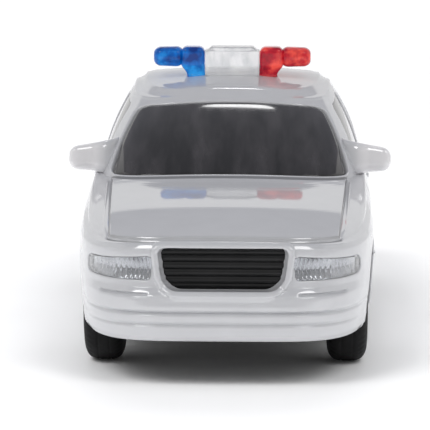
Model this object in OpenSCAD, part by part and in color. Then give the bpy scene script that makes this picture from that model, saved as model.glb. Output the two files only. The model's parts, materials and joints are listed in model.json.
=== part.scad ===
// Toy police saloon: a die-cast body over a moulded base, with two rolling axles.
// X runs across the car, Y along it with the nose at -Y, and Z up from the road.

/* [Body] */
// Length over the bumpers
body_length = 84; // [76:1:92]
// Width over the wings
body_width = 28; // [26:0.5:32]
// Height of the body's lower edge above the road
ground_clearance = 3.9; // [3.6:0.1:4.6]
// Height of the hood's front lip above the road
hood_lip_height = 13.1; // [12:0.1:14]
// Height of the window sills above the road
belt_height = 16.9; // [16:0.1:18.5]
// Height of the windows from sill to roof rail
greenhouse_height = 6.7; // [6:0.1:8]
// Rise of the roof's crown over its rails
roof_crown = 1.4; // [0.8:0.1:2]
// Width of the roof between its rails
roof_width = 19.8; // [18:0.2:22]
// Thickness of the cast wall
wall = 1.0; // [0.8:0.05:1.3]
// Thickness of the solid nose and tail
end_wall = 4.0; // [3.4:0.1:5]

/* [Cabin places] */
// From the nose to the foot of the windscreen, as a share of the length
cowl_share = 0.304; // [0.28:0.002:0.32]
// From the nose to the top of the windscreen, as a share of the length
header_share = 0.425; // [0.405:0.005:0.45]
// From the tail to the foot of the rear window, as a share of the length
rear_foot_share = 0.196; // [0.17:0.002:0.214]
// From the tail to the top of the rear window, as a share of the length
rear_header_share = 0.314; // [0.286:0.002:0.332]

/* [Wheels] */
// From the nose to the front axle, as a share of the length
overhang_share = 0.195; // [0.185:0.001:0.214]
// Distance between the axles, as a share of the length
wheelbase_share = 0.542; // [0.5:0.002:0.56]
// Outside diameter of a tyre
tyre_diameter = 10.6; // [9.8:0.1:11.4]
// Width of a tyre
tyre_width = 3.8; // [3.4:0.1:4.4]
// Outside diameter of a rim
rim_diameter = 7.0; // [6.4:0.1:7.6]
// Diameter of an axle
axle_diameter = 1.5; // [1.2:0.1:1.8]
// How far a tyre's face lies inside the body's widest line
tyre_inset = 0.8; // [0.5:0.05:1]
// Gap between a tyre and its wheel arch
arch_gap = 0.8; // [0.6:0.05:1.2]

/* [Light bar] */
// Length of the light bar
bar_length = 15.8; // [14:0.1:17]
// Length of the clear middle of the light bar
bar_clear_length = 5.3; // [4.6:0.1:6.4]
// Height of the light bar over its seat on the roof
bar_height = 2.95; // [2.6:0.05:3.4]
// Height of a light pod
pod_height = 2.05; // [1.8:0.05:2.3]
// Depth of a light pod from front to back
bar_depth = 2.8; // [2.5:0.1:3.4]
// From the top of the windscreen to the middle of the light bar
bar_setback = 6.5; // [5.5:0.1:9]

/* [Fits] */
// Radial gap of an axle in its bearing
axle_clearance = 0.05; // [0.02:0.01:0.09]
// Gap round an insert in its pocket
insert_clearance = 0.1; // [0.06:0.01:0.15]
// Gap between the base and the body round it
base_clearance = 0.25; // [0.2:0.05:0.4]

/* [Hidden] */

// Cuts run past the faces that they open by this much
overrun = 2;
// Steps round the body skin, round its inner skin, round turned pieces,
// round small roundings and round the smallest ones
skin_steps = 64;
inner_steps = 40;
round_steps = 40;
small_steps = 16;
fine_steps = 10;
// Steps are drawn closer together at the corners of the plan, by this many degrees
corner_crowding = 6.4;

// Main lines of the body
nose_y = -body_length / 2;
tail_y = body_length / 2;
half_width = body_width / 2;
rail_height = belt_height + greenhouse_height;
roof_height = rail_height + roof_crown;
cowl_y = nose_y + body_length * cowl_share;
header_y = nose_y + body_length * header_share;
rear_foot_y = tail_y - body_length * rear_foot_share;
rear_header_y = tail_y - body_length * rear_header_share;
front_axle_y = nose_y + body_length * overhang_share;
rear_axle_y = front_axle_y + body_length * wheelbase_share;
axle_ys = [front_axle_y, rear_axle_y];
axle_height = tyre_diameter / 2;
arch_radius = tyre_diameter / 2 + arch_gap;
tyre_face_x = half_width - tyre_inset;
tyre_back_x = tyre_face_x - tyre_width;

// How deep the walls tuck in at the nose, along the sides and at the tail
nose_tuck = 1.8;
side_tuck = 1.0;
tail_tuck = 1.8;
// How much higher the lower edge lies under the bumpers than along the sills
front_lift = 0.3;
rear_lift = 0.7;
// Drops below the window sills: shoulder line, windscreen foot, rear window foot and deck lip
shoulder_drop = 0.8;
cowl_drop = 0.9;
rear_foot_drop = 0.2;
deck_lip_drop = 1.5;
// The ledge from the widest line of the body to the foot of the side windows
belt_ledge = 1.1;
// How far the glass bulges from a straight line between its sill and the roof rail
glass_bulge = 0.35;
// How much higher the middle of the hood, deck and windscreen foot lies than their sides
hood_crown = 0.45;
// Drops of the windscreen top and the rear window top below the roof rail
header_drop = 0.85;
rear_header_drop = 0.55;

// Corner squareness of the plan outlines, as the power of a superellipse
wall_front_power = 5;
wall_rear_power = 5.5;
sill_power = 5.5;
rail_power = 4.5;
roof_power = 3.2;
crown_power = 2.4;
// The hood and the deck rise quickly behind their lips, by this power of the way to the windows
top_crown_power = 0.62;

// How an inset moves each stretch of the skin: shares of it taken inwards at the sides and at the ends,
// and downwards at the sides and at the ends
wall_inset_shares = [1, 1, 0, 0];
lip_inset_shares = [0.7, 0.7, 0.7, 0.7];
top_inset_shares = [0.7, 0.15, 0.7, 1];
sill_inset_shares = [0.9, 0.52, 0.42, 0.85];
rail_inset_shares = [0.8, 0.45, 0.6, 0.9];
roof_inset_shares = [0.15, 0.15, 1, 1];

// Each row is one level of the walls, from the lower edge to the lip of the hood and deck:
// front height and setback, side height and tuck, rear height and setback, and crown.
// The bumpers have two creases and a shelf, and the sides a soft waist.
wall_level_shares = [
    [0.00, 0.61, 0.00, 1.00, 0.00, 0.66, 0],
    [0.06, 0.25, 0.04, 0.58, 0.05, 0.28, 0],
    [0.16, 0.08, 0.12, 0.36, 0.13, 0.08, 0],
    [0.19, 0.13, 0.15, 0.32, 0.16, 0.12, 0],
    [0.22, 0.05, 0.18, 0.28, 0.19, 0.05, 0],
    [0.285, 0.03, 0.25, 0.22, 0.25, 0.02, 0],
    [0.315, 0.13, 0.28, 0.20, 0.28, 0.12, 0],
    [0.345, 0.00, 0.31, 0.18, 0.31, 0.00, 0],
    [0.485, 0.06, 0.42, 0.10, 0.43, 0.08, 0],
    [0.55, 0.30, 0.49, 0.06, 0.49, 0.34, 0],
    [0.58, 0.42, 0.54, 0.03, 0.52, 0.42, 0],
    [0.95, 0.58, 0.70, 0.05, 0.84, 0.60, 0.6],
    [0.985, 0.72, 0.88, 0.32, 0.95, 0.74, 0.9],
    [1.00, 1.00, 1.00, 0.75, 1.00, 1.00, 1]];
lip_level = len(wall_level_shares) - 1;

function mix(a, b, t) = a + (b - a) * t;
function ease(t) = t * t * (3 - 2 * t);
function mix_rows(rows, level) =
    let (i = min(floor(level), len(rows) - 2))
    mix(rows[i], rows[i + 1], level - i);

// A ring is a closed plan outline with its own heights:
// half width, front and rear y, front, side and rear z, front and rear power, crown, then its inset shares
function wall_ring(level) =
    let (w = mix_rows(wall_level_shares, level),
         side_top = belt_height - shoulder_drop,
         lean = max(0, level - lip_level + 1))
    [half_width - side_tuck * w[3], nose_y + nose_tuck * w[1], tail_y - tail_tuck * w[5],
     mix(ground_clearance + front_lift, hood_lip_height - hood_crown, w[0]),
     mix(ground_clearance, side_top, w[2]),
     mix(ground_clearance + rear_lift, belt_height - deck_lip_drop - hood_crown, w[4]),
     wall_front_power, wall_rear_power, hood_crown * w[6],
     each mix(wall_inset_shares, lip_inset_shares, lean)];

// The foot of the windows: windscreen foot, window sills and rear window foot
sill_ring = [half_width - belt_ledge, cowl_y, rear_foot_y,
             belt_height - cowl_drop - hood_crown, belt_height, belt_height - rear_foot_drop - hood_crown,
             sill_power, sill_power, hood_crown, each sill_inset_shares];
// The roof rail: windscreen top, rails and rear window top
rail_ring = [roof_width / 2, header_y, rear_header_y,
             rail_height - header_drop - hood_crown, rail_height, rail_height - rear_header_drop - hood_crown,
             rail_power, rail_power, hood_crown, each rail_inset_shares];
lip_ring = wall_ring(lip_level);

// A ring at share t of the way from the lip to the foot of the windows
function top_ring(t) =
    let (up = pow(t, top_crown_power))
    [for (k = [0:2]) mix(lip_ring[k], sill_ring[k], t),
     for (k = [3:5]) mix(lip_ring[k], sill_ring[k], up),
     for (k = [6:7]) mix(lip_ring[k], sill_ring[k], t),
     hood_crown, each top_inset_shares];

// A ring of the lower body: walls up to the lip level, and the hood and deck in the level after it
function body_ring(level) = level <= lip_level ? wall_ring(level) : top_ring(level - lip_level);

// A ring at share t of the way up the windows
function window_ring(t) =
    let (bulge = 4 * t * (1 - t) * glass_bulge)
    mix(sill_ring, rail_ring, t) + bulge * [1, -1, 1, 1, 0, 1, 0, 0, 0, 0, 0, 0, 0];

// A ring of the roof at shares of the way from the rail to the crown:
// across, up at the ends, up at the sides, and in roundness
roof_ring_shares = [[0.16, 0.48, 0.75, 0], [0.48, 0.84, 0.92, 0.5], [0.78, 0.97, 0.98, 1]];
crown_y = (rail_ring[1] + rail_ring[2]) / 2;
function roof_ring(row) =
    let (power = mix(roof_power, crown_power, row[3]))
    [rail_ring[0] * (1 - row[0]), mix(rail_ring[1], crown_y, row[0]), mix(rail_ring[2], crown_y, row[0]),
     mix(rail_ring[3], roof_height, row[1]), mix(rail_ring[4], roof_height, row[2]),
     mix(rail_ring[5], roof_height, row[1]),
     power, power, hood_crown * (1 - row[1]), each roof_inset_shares];

// A point of the skin: the plan angle, the ring, how far it lies under the outer skin,
// and how much further in it lies at the nose and tail
function skin_point(angle, ring, inset, end_inset = 0) =
    let (p = sin(angle) < 0 ? ring[6] : ring[7],
         k = pow(pow(abs(cos(angle)), p) + pow(abs(sin(angle)), p), -1 / p),
         across = cos(angle) * k,
         along = sin(angle) * k,
         front = ring[1] + inset * ring[10] + end_inset,
         rear = ring[2] - inset * ring[10] - end_inset,
         height = mix(along < 0 ? ring[3] : ring[5], ring[4], ease(1 - abs(along)))
                  + ring[8] * (1 - across * across),
         down = inset * mix(ring[11], ring[12], along * along))
    [(ring[0] - inset * ring[9]) * across, mix(front, rear, (1 + along) / 2), height - down];

function skin_angle(i, steps) = 360 * i / steps + corner_crowding * sin(4 * 360 * i / steps);
function skin_ring(ring, inset, steps, end_inset = 0) =
    [for (i = [0:steps - 1]) skin_point(skin_angle(i, steps), ring, inset, end_inset)];

function middle(points) = [for (k = [0:2]) [for (p = points) p[k]] * [for (p = points) 1] / len(points)];

// A closed solid through a stack of rings, each of the same number of points
module loft(rings) {
    n = len(rings[0]);
    m = len(rings);
    sides = [for (j = [0:m - 2], i = [0:n - 1])
        let (a = j * n + i, b = j * n + (i + 1) % n)
        each [[a, a + n, b], [b, a + n, b + n]]];
    lower_cap = [for (i = [0:n - 1]) [i, (i + 1) % n, m * n]];
    upper_cap = [for (i = [0:n - 1]) [(m - 1) * n + (i + 1) % n, (m - 1) * n + i, m * n + 1]];
    polyhedron(concat([for (r = rings) each r], [middle(rings[0]), middle(rings[m - 1])]),
               concat(sides, lower_cap, upper_cap));
}

// Shares of the way that the hood and the windows are drawn at
top_draw_shares = [0.05, 0.3, 0.65];
window_draw_shares = [0, 0.12, 0.5, 0.88, 1];

// The outside of the body, grown outwards by some amount
module outer_skin(grow = 0) {
    loft(concat(
        [for (level = [0:lip_level]) skin_ring(wall_ring(level), -grow, skin_steps)],
        [for (t = top_draw_shares) skin_ring(top_ring(t), -grow, skin_steps)],
        [for (t = window_draw_shares) skin_ring(window_ring(t), -grow, skin_steps)],
        [for (row = roof_ring_shares) skin_ring(roof_ring(row), -grow, skin_steps)]));
}

// The hollow inside the casting, which opens at the bottom
hollow_level_shares = [0.1, 0.5, 0.85, 1];
hollow_window_shares = [0, 0.5, 1];
module hollow() {
    loft(concat(
        [[for (p = skin_ring(wall_ring(1), wall, inner_steps, end_wall - wall)) [p[0], p[1], 0]]],
        [for (s = hollow_level_shares)
            skin_ring(wall_ring(s * lip_level), wall, inner_steps, end_wall - wall)],
        [for (t = top_draw_shares)
            skin_ring(top_ring(t), wall, inner_steps, (end_wall - wall) * (1 - t))],
        [for (t = hollow_window_shares) skin_ring(window_ring(t), wall, inner_steps)],
        [for (row = roof_ring_shares) skin_ring(roof_ring(row), wall, inner_steps)]));
}

module both_sides() {
    children();
    mirror([1, 0, 0]) children();
}

module along_x() {
    rotate([0, 90, 0]) children();
}

module facing_front(y) {
    translate([0, y, 0]) rotate([90, 0, 0]) children();
}

// The convex solid round a set of points
module wrap(points) {
    hull() polyhedron(points, [for (i = [0:len(points) - 3]) [0, i + 1, i + 2]]);
}

// The windows: plan angles from and to, shares of the window height from and to,
// the corner rounding as shares of the width and the height, and the steps across
windscreen_shares = [-136.8, -43.2, 0.02, 0.93, 0.03, 0.08, 6];
rear_window_shares = [52, 128, 0.08, 0.9, 0.06, 0.16, 6];
front_door_window_shares = [-35, -7.5, 0.08, 0.88, 0.1, 0.16, 3];
rear_door_window_shares = [-3, 20, 0.08, 0.88, 0.08, 0.14, 2];
quarter_window_shares = [22.5, 33, 0.08, 0.86, 0.16, 0.2, 2];
side_window_shares = [front_door_window_shares, rear_door_window_shares, quarter_window_shares];
// A window opening runs past the faces of the wall by this much
pane_overrun = 0.4;

// A rounded window shape on the skin between two depths, grown by a plan angle and a height share
module pane(window, outside, inside, grow) {
    a = [window[0] - grow[0], window[1] + grow[0]];
    t = [window[2] - grow[1], window[3] + grow[1]];
    corner = [for (i = [0:2]) [window[4] * (1 - sin(45 * i)), window[5] * (1 - cos(45 * i))]];
    edge_shares = concat(
        [for (c = corner, x = [c[0], 1 - c[0]], y = [c[1], 1 - c[1]]) [x, y]],
        [for (i = [1:window[6] - 1], y = [0, 0.5, 1]) [i / window[6], y]]);
    wrap([for (depth = [outside, inside], e = edge_shares)
        skin_point(mix(a[0], a[1], e[0]), window_ring(mix(t[0], t[1], e[1])), depth)]);
}

module every_pane(outside, inside, grow) {
    pane(windscreen_shares, outside, inside, grow);
    pane(rear_window_shares, outside, inside, grow);
    both_sides() for (window = side_window_shares) pane(window, outside, inside, grow);
}

// A slab that follows the lower body between two depths. Its outline is four corners,
// each a plan angle and a level: lower first and second, then upper first and second.
module slab(corners, depths, steps) {
    cols = steps[0];
    rows = steps[1];
    n = cols + 1;
    sheet = n * (rows + 1);
    grid = [for (depth = depths, j = [0:rows], i = [0:cols])
        let (low = mix(corners[0], corners[1], i / cols),
             high = mix(corners[2], corners[3], i / cols),
             place = mix(low, high, j / rows))
        skin_point(place[0], body_ring(place[1]), depth)];
    outer = [for (j = [0:rows - 1], i = [0:cols - 1])
        let (a = j * n + i) each [[a, a + n, a + 1], [a + 1, a + n, a + n + 1]]];
    inner = [for (f = outer) [f[0] + sheet, f[2] + sheet, f[1] + sheet]];
    border = concat([for (i = [0:cols]) i], [for (j = [1:rows]) j * n + cols],
                    [for (i = [1:cols]) sheet - 1 - i], [for (j = [1:rows - 1]) sheet - (j + 1) * n]);
    rim = [for (i = [0:len(border) - 1])
        let (a = border[i], b = border[(i + 1) % len(border)])
        each [[a, b, a + sheet], [b, b + sheet, a + sheet]]];
    polyhedron(grid, concat(outer, inner, rim));
}

function corners(angles, levels) = [for (level = levels, angle = angles) [angle, level]];

// Lamps: the outline of each lens, its depth, and how far it lies under the skin
headlight_corner_shares = [[-65.3, 10.14], [-44.5, 10.16], [-65.3, 10.78], [-44.5, 10.54]];
tail_light_corner_shares = corners([45, 66], [10.1, 10.86]);
lamp_depth = 0.85;
lamp_recess = 0.08;
lamp_steps = [8, 2];
// Clearance round a lens, in degrees of plan angle and in levels
lamp_gap_shares = [0.35, 0.03];

module lamp_pocket(outline) {
    grow = [for (level = [-1, 1], angle = [-1, 1]) [angle * lamp_gap_shares[0], level * lamp_gap_shares[1]]];
    slab(outline + grow, [-overrun, lamp_recess + lamp_depth + insert_clearance / 2], lamp_steps);
}

module lamp(outline) {
    slab(outline, [lamp_recess, lamp_recess + lamp_depth], lamp_steps);
}

// Shut lines of the hood, boot lid and doors, engraved into the skin: plan angles and levels
line_depth = 0.25;
line_steps = 6;
hood_front_line = corners([-130.3, -49.7], [13.02, 13.04]);
hood_side_line = [[-50, 13.03], [-49.4, 13.03], [-45.2, 14], [-44.6, 14]];
boot_side_line = corners([46, 46.6], [11.3, 14]);
door_line_angles = [-18, 3.4, 21];
door_line_degrees = 0.3;
door_line_levels = [1.6, 13];
sill_line = corners([door_line_angles[0], door_line_angles[2]] + [1, 1] * door_line_degrees / 2, [1.5, 1.68]);
// The slot in the bumper under each headlight
bumper_slot = corners([-64, -49], [8.1, 8.6]);

module shut_lines() {
    depths = [-overrun, line_depth];
    slab(hood_front_line, depths, [2 * line_steps, 1]);
    both_sides() {
        slab(hood_side_line, depths, [1, line_steps]);
        slab(boot_side_line, depths, [1, line_steps]);
        for (angle = door_line_angles)
            slab(corners([angle, angle + door_line_degrees], door_line_levels), depths, [1, line_steps]);
        slab(sill_line, depths, [line_steps, 1]);
        slab(bumper_slot, depths, [line_steps, 1]);
    }
}

// Body side mouldings, and door handles as rounded bars on the doors
side_strip = corners([-36, 32], [9.2, 9.8]);
strip_height = 0.12;
handle_angles = [[-2.2, 0.6], [14.6, 17]];
handle_level = 12;
handle_radius = 0.28;
handle_sink = 0.1;

module side_trim() {
    slab(side_strip, [-strip_height, wall / 2], [line_steps, 1]);
    for (pair = handle_angles) hull() for (angle = pair)
        translate(skin_point(angle, wall_ring(handle_level), handle_sink))
            sphere(handle_radius, $fn = fine_steps);
}

// Grille opening: widths at the top and bottom as shares of the body's width,
// drop of its top below the hood lip, height and depths
grille_top_share = 0.418;
grille_low_share = 0.382;
grille_top_width = body_width * grille_top_share;
grille_low_width = body_width * grille_low_share;
grille_drop = 0.5;
grille_height = 3.9;
grille_corner = 0.8;
grille_pocket_depth = 2.3;
grille_thickness = 1.0;
grille_back = 0.35;
grille_high = hood_lip_height - grille_drop;
grille_low = grille_high - grille_height;
slat_count = 6;
slat_share = 0.5;
// The raised frame round the grille, cast with the body
surround_width = 0.75;
surround_rise = 0.3;

module grille_outline(shrink) {
    offset(r = grille_corner - shrink, $fn = small_steps) offset(delta = -grille_corner)
        polygon([[-grille_low_width / 2, grille_low], [grille_low_width / 2, grille_low],
                 [grille_top_width / 2, grille_high], [-grille_top_width / 2, grille_high]]);
}

module grille_surround() {
    intersection() {
        facing_front(nose_y + grille_pocket_depth)
            linear_extrude(grille_pocket_depth + overrun) grille_outline(-surround_width);
        outer_skin(surround_rise);
    }
}

module grille_pocket() {
    facing_front(nose_y + grille_pocket_depth)
        linear_extrude(grille_pocket_depth + overrun) grille_outline(0);
}

module grille_insert() {
    pitch = grille_height / slat_count;
    color("#141416") facing_front(nose_y + grille_pocket_depth) {
        linear_extrude(grille_back) grille_outline(insert_clearance);
        linear_extrude(grille_thickness) intersection() {
            grille_outline(insert_clearance);
            for (i = [0:slat_count - 1])
                translate([-grille_top_width / 2, grille_low + pitch * (i + (1 - slat_share) / 2)])
                    square([grille_top_width, pitch * slat_share]);
        }
    }
}

// Door mirrors, cast with the body: a pod that tapers from its root at the windscreen pillar
mirror_ball = 0.8;
mirror_reach = 1.75;
mirror_setback = 5.2;
mirror_tip_sink = 0.6;
mirror_tip_rise = 1.45;
mirror_root_sink = 1.1;
mirror_root_rise = 2.1;
mirror_sweep = 0.9;
mirror_root = 2.2;

module door_mirror() {
    y = cowl_y + mirror_setback;
    tip = half_width + mirror_reach - mirror_ball;
    root = half_width - mirror_root;
    hull() {
        for (place = [[tip, 0, belt_height - mirror_tip_sink + mirror_ball],
                      [tip, 0, belt_height + mirror_tip_rise - mirror_ball],
                      [root, mirror_sweep, belt_height - mirror_root_sink + mirror_ball],
                      [root, mirror_sweep, belt_height + mirror_root_rise - mirror_ball],
                      [tip - mirror_ball, mirror_sweep, belt_height - mirror_tip_sink + mirror_ball]])
            translate([place[0], y + place[1], place[2]]) sphere(mirror_ball, $fn = fine_steps);
    }
}

// Base: thickness of its plate, drop of the flat panel under it, and height of the plate
base_thickness = 1.2;
panel_drop = 0.4;
base_low = ground_clearance;
base_top = base_low + base_thickness;

// Two posts inside the body, which the base is riveted to
post_radius = 1.7;
post_gap = 1.2;
rivet_radius = 0.8;
rivet_grip = 2.4;
rivet_head_radius = 1.5;
rivet_head_height = 0.35;
post_bore_spare = 0.6;
post_ys = [front_axle_y - arch_radius + post_gap,
           rear_axle_y + arch_radius + post_radius + post_gap];

module body_posts() {
    intersection() {
        for (y = post_ys) translate([0, y, base_top])
            cylinder(r = post_radius, h = belt_height - base_top, $fn = small_steps);
        outer_skin();
    }
}

module post_bores() {
    for (y = post_ys) translate([0, y, base_top - overrun])
        cylinder(r = rivet_radius + insert_clearance, h = overrun + rivet_grip + post_bore_spare,
                 $fn = small_steps);
}

// Light bar: its seat on the roof, its pegs and the legs under its inner pods
bar_y = header_y + bar_setback;
peg_radius = 0.6;
peg_inset = 1.1;
peg_x = bar_clear_length / 2 - peg_inset;
pod_gap = 0.12;
leg_run = 1.5;
leg_depth = 1.9;
roof_line = [for (ring = concat([rail_ring], [for (row = roof_ring_shares) roof_ring(row)]))
    [ring[1], ring[3]]];
bar_seat = lookup(bar_y - bar_depth / 2, roof_line);

module bar_peg_holes() {
    both_sides() translate([peg_x, bar_y, bar_seat - wall - overrun])
        cylinder(r = peg_radius + insert_clearance, h = wall + 2 * overrun, $fn = small_steps);
}

// The flat in the roof that the light bar's feet stand on
module bar_flat() {
    half = bar_clear_length / 2 + pod_gap + leg_run + insert_clearance;
    translate([-half, bar_y - bar_depth / 2 - insert_clearance, bar_seat])
        cube([2 * half, bar_depth + 2 * insert_clearance, overrun]);
}

module wheel_arches() {
    for (y = axle_ys) both_sides()
        translate([tyre_back_x - arch_gap, y, axle_height]) along_x()
            cylinder(r = arch_radius, h = tyre_width + tyre_inset + arch_gap + overrun, $fn = round_steps);
}

module body_shell() {
    color("#e9e9ec") difference() {
        union() {
            difference() {
                union() {
                    outer_skin();
                    grille_surround();
                    both_sides() {
                        door_mirror();
                        side_trim();
                    }
                }
                hollow();
            }
            body_posts();
        }
        every_pane(-pane_overrun, wall + pane_overrun, [0, 0]);
        both_sides() {
            lamp_pocket(headlight_corner_shares);
            lamp_pocket(tail_light_corner_shares);
        }
        shut_lines();
        grille_pocket();
        wheel_arches();
        post_bores();
        bar_peg_holes();
        bar_flat();
    }
}

// Glazing: a thin liner inside the casting with a pane standing out into each window
liner_thickness = 0.6;
pane_recess = 0.12;
pane_bite = 0.3;
// Clearance round a pane, in degrees of plan angle and as a share of the window height
pane_gap_degrees = 0.3;
pane_gap_share = 0.016;
liner_draw_shares = [0.02, 0.5, 0.96];

module window_insert() {
    outside = wall + insert_clearance;
    inside = [for (t = liner_draw_shares) skin_ring(window_ring(t), outside + liner_thickness, inner_steps)];
    color("#1d2023") difference() {
        union() {
            loft([for (t = liner_draw_shares) skin_ring(window_ring(t), outside, inner_steps)]);
            every_pane(pane_recess, outside + pane_bite, [-pane_gap_degrees, -pane_gap_share]);
        }
        loft(concat([[for (p = inside[0]) p - [0, 0, overrun]]], inside,
                    [[for (p = inside[2]) p + [0, 0, overrun]]]));
    }
}

// Light bar pods: rounded ends, the taper of the outer pods and the notches of the clear middle
pod_corner = 0.5;
pod_taper = 0.16;
pod_overlap = 0.1;
outer_pod_share = 0.54;
clear_notch = 0.35;
pod_z = bar_seat + bar_height - pod_height / 2;
lens_length = (bar_length - bar_clear_length) / 2 - pod_gap;
outer_pod_length = lens_length * outer_pod_share;
inner_pod_length = lens_length - outer_pod_length;

// One pod: a rounded bar along X that tapers outwards, deeper than it is tall
module pod(x, length, taper) {
    spread = (bar_depth - pod_height) / 2;
    big = pod_height / 2;
    arc = [for (i = [0:3]) pod_corner * [1 - cos(30 * i), 1 - sin(30 * i)]];
    profile = concat([[0, 0]], [for (i = [3:-1:0]) [big - arc[i][0], arc[i][1]]],
                     [for (a = arc) [big - taper - a[0], length - a[1]]], [[0, length]]);
    hull() for (y = [-spread, spread])
        translate([x, bar_y + y, pod_z]) along_x() rotate_extrude($fn = small_steps) polygon(profile);
}

module bar_lens() {
    inner_x = bar_clear_length / 2 + pod_gap;
    outer_x = inner_x + inner_pod_length;
    pod(inner_x, inner_pod_length + pod_overlap, 0);
    pod(outer_x, outer_pod_length, pod_taper);
    facing_front(bar_y + leg_depth / 2) linear_extrude(leg_depth)
        polygon([[inner_x, bar_seat], [inner_x + leg_run, bar_seat],
                 [outer_x - pod_corner, pod_z - pod_height / 2 + pod_corner], [outer_x - pod_corner, pod_z],
                 [inner_x, pod_z]]);
}

module light_bar_red_lens() {
    color("#c81e3c") bar_lens();
}

module light_bar_blue_lens() {
    color("#2447d8") mirror([1, 0, 0]) bar_lens();
}

module light_bar_clear_lens() {
    half = bar_clear_length / 2;
    step = half - clear_notch;
    top = bar_seat + bar_height;
    color("#dfe4ea") {
        facing_front(bar_y + bar_depth / 2) linear_extrude(bar_depth)
            polygon([[-half, bar_seat], [half, bar_seat], [half, top - clear_notch],
                     [step, top - clear_notch], [step - clear_notch, top], [clear_notch - step, top],
                     [-step, top - clear_notch], [-half, top - clear_notch]]);
        both_sides() translate([peg_x, bar_y, bar_seat - wall])
            cylinder(r = peg_radius, h = wall + bar_height / 2, $fn = round_steps);
    }
}

// Interior: levels of the floor, door trim and shelf, and plan places
tub_thickness = 0.8;
tub_corner = 1.2;
tub_lift = 2.4;
tub_floor = base_top + tub_lift;
tub_side_gap = 1.6;
tub_end_gap = 3.2;
tub_half_width = half_width - belt_ledge - wall - tub_side_gap;
tub_front = cowl_y + tub_end_gap;
tub_rear = rear_axle_y - arch_radius - insert_clearance;
tub_top = belt_height - cowl_drop - shoulder_drop;
shelf_rear = rear_foot_y - tub_end_gap;
shelf_drop = 1.6;
dash_depth = 3.0;
dash_height = 3.2;
seat_width = 7.4;
seat_length = 6.6;
seat_height = 3.0;
seat_back = 1.8;
seat_back_height = 7.4;
seat_lean = 1.6;
seat_round = 0.6;
seat_x = 4.9;
seat_place_share = 0.34;
seat_y = mix(tub_front, tub_rear, seat_place_share);
head_width_share = 0.5;
head_height = 2.0;
bench_height = 3.4;
bench_length = 6.0;

// A cushion with rounded edges that lies across the car: its width, and its corners in side view
module cushion(width, corners) {
    translate([width / 2, 0, 0]) rotate([90, 0, -90]) linear_extrude(width)
        hull() for (p = corners) translate([-p[0], p[1]]) circle(seat_round, $fn = small_steps);
}

module front_seat() {
    low = tub_floor + seat_round;
    back = seat_length + seat_back - 2 * seat_round;
    top = low + seat_back_height;
    pad = low + seat_height - 2 * seat_round;
    cushion(seat_width, [[seat_round, low], [seat_length, low], [seat_round, pad], [seat_length, pad]]);
    cushion(seat_width, [[seat_length, low], [back, low],
                         [seat_length + seat_lean, top], [back + seat_lean, top]]);
    cushion(seat_width * head_width_share,
            [[seat_length + seat_lean, top], [back + seat_lean, top],
             [seat_length + seat_lean, top + head_height], [back + seat_lean, top + head_height]]);
}

module tub_outline(shrink) {
    offset(r = tub_corner - shrink, $fn = small_steps) offset(delta = -tub_corner)
        translate([-tub_half_width, tub_front]) square([2 * tub_half_width, tub_rear - tub_front]);
}

module interior_tub() {
    floor_top = tub_floor + tub_thickness;
    shelf_top = belt_height - shelf_drop;
    back_y = tub_rear - seat_back;
    color("#3a3d42") {
        difference() {
            translate([0, 0, tub_floor]) linear_extrude(tub_top - tub_floor) tub_outline(0);
            translate([0, 0, floor_top]) linear_extrude(tub_top) tub_outline(tub_thickness);
            translate([-half_width, tub_front - overrun, tub_top - dash_height])
                cube([body_width, overrun + dash_depth, dash_height + overrun]);
        }
        translate([tub_half_width - tub_thickness / 2, 0, 0]) rotate([90, 0, -90])
            linear_extrude(2 * tub_half_width - tub_thickness)
                polygon([[tub_thickness / 2 - tub_rear, tub_floor],
                         [-back_y - seat_lean, shelf_top - tub_thickness],
                         [-shelf_rear, shelf_top - tub_thickness], [-shelf_rear, shelf_top],
                         [-back_y + seat_lean, shelf_top], [-back_y + seat_back, tub_floor]]);
        both_sides() translate([seat_x, seat_y, 0]) front_seat();
        translate([0, back_y - bench_length, 0])
            cushion(2 * tub_half_width - tub_thickness,
                    [[seat_round, tub_floor + seat_round], [bench_length, tub_floor + seat_round],
                     [seat_round, tub_floor + bench_height - seat_round],
                     [bench_length, tub_floor + bench_height]]);
    }
}

// Dashboard: a moulded block with a brow over the instruments and a socket for the steering column,
// which rests on the tub's walls. Its front follows the glazing, seen from above, at a share of its height.
dash_face_lean = 0.8;
dash_lip = 0.7;
dash_gap = 0.3;
dash_plan_share = 0.12;
dash_face = tub_front + dash_depth - dash_face_lean;
// Steering wheel on the car's left: rim, spokes and a column that sits in the dashboard's socket
steer_radius = 1.7;
steer_rim = 0.25;
steer_column = 0.35;
steer_tilt = 62;
steer_reach = 2.0;
steer_bite = 0.8;
steer_drop = 1.6;
steer_seat = 0.02;

module steer_place() {
    translate([seat_x, dash_face, tub_top - steer_drop]) rotate([-steer_tilt, 0, 0]) children();
}

module dashboard() {
    low = tub_top - dash_height;
    width = 2 * tub_half_width;
    inset = wall + insert_clearance + liner_thickness + dash_gap;
    color("#24262a") difference() {
        intersection() {
            translate([-width / 2, 0, 0]) rotate([90, 0, 90]) linear_extrude(width)
                polygon([[tub_front, low], [dash_face, low], [dash_face, tub_top - dash_lip],
                         [tub_front + dash_depth, tub_top - dash_lip], [dash_face, tub_top],
                         [tub_front, tub_top]]);
            translate([0, 0, low]) linear_extrude(dash_height)
                polygon([for (p = skin_ring(window_ring(dash_plan_share), inset, inner_steps)) [p[0], p[1]]]);
        }
        steer_place() translate([0, 0, -steer_bite])
            cylinder(r = steer_column + steer_seat, h = steer_bite + overrun, $fn = round_steps);
    }
}

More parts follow.
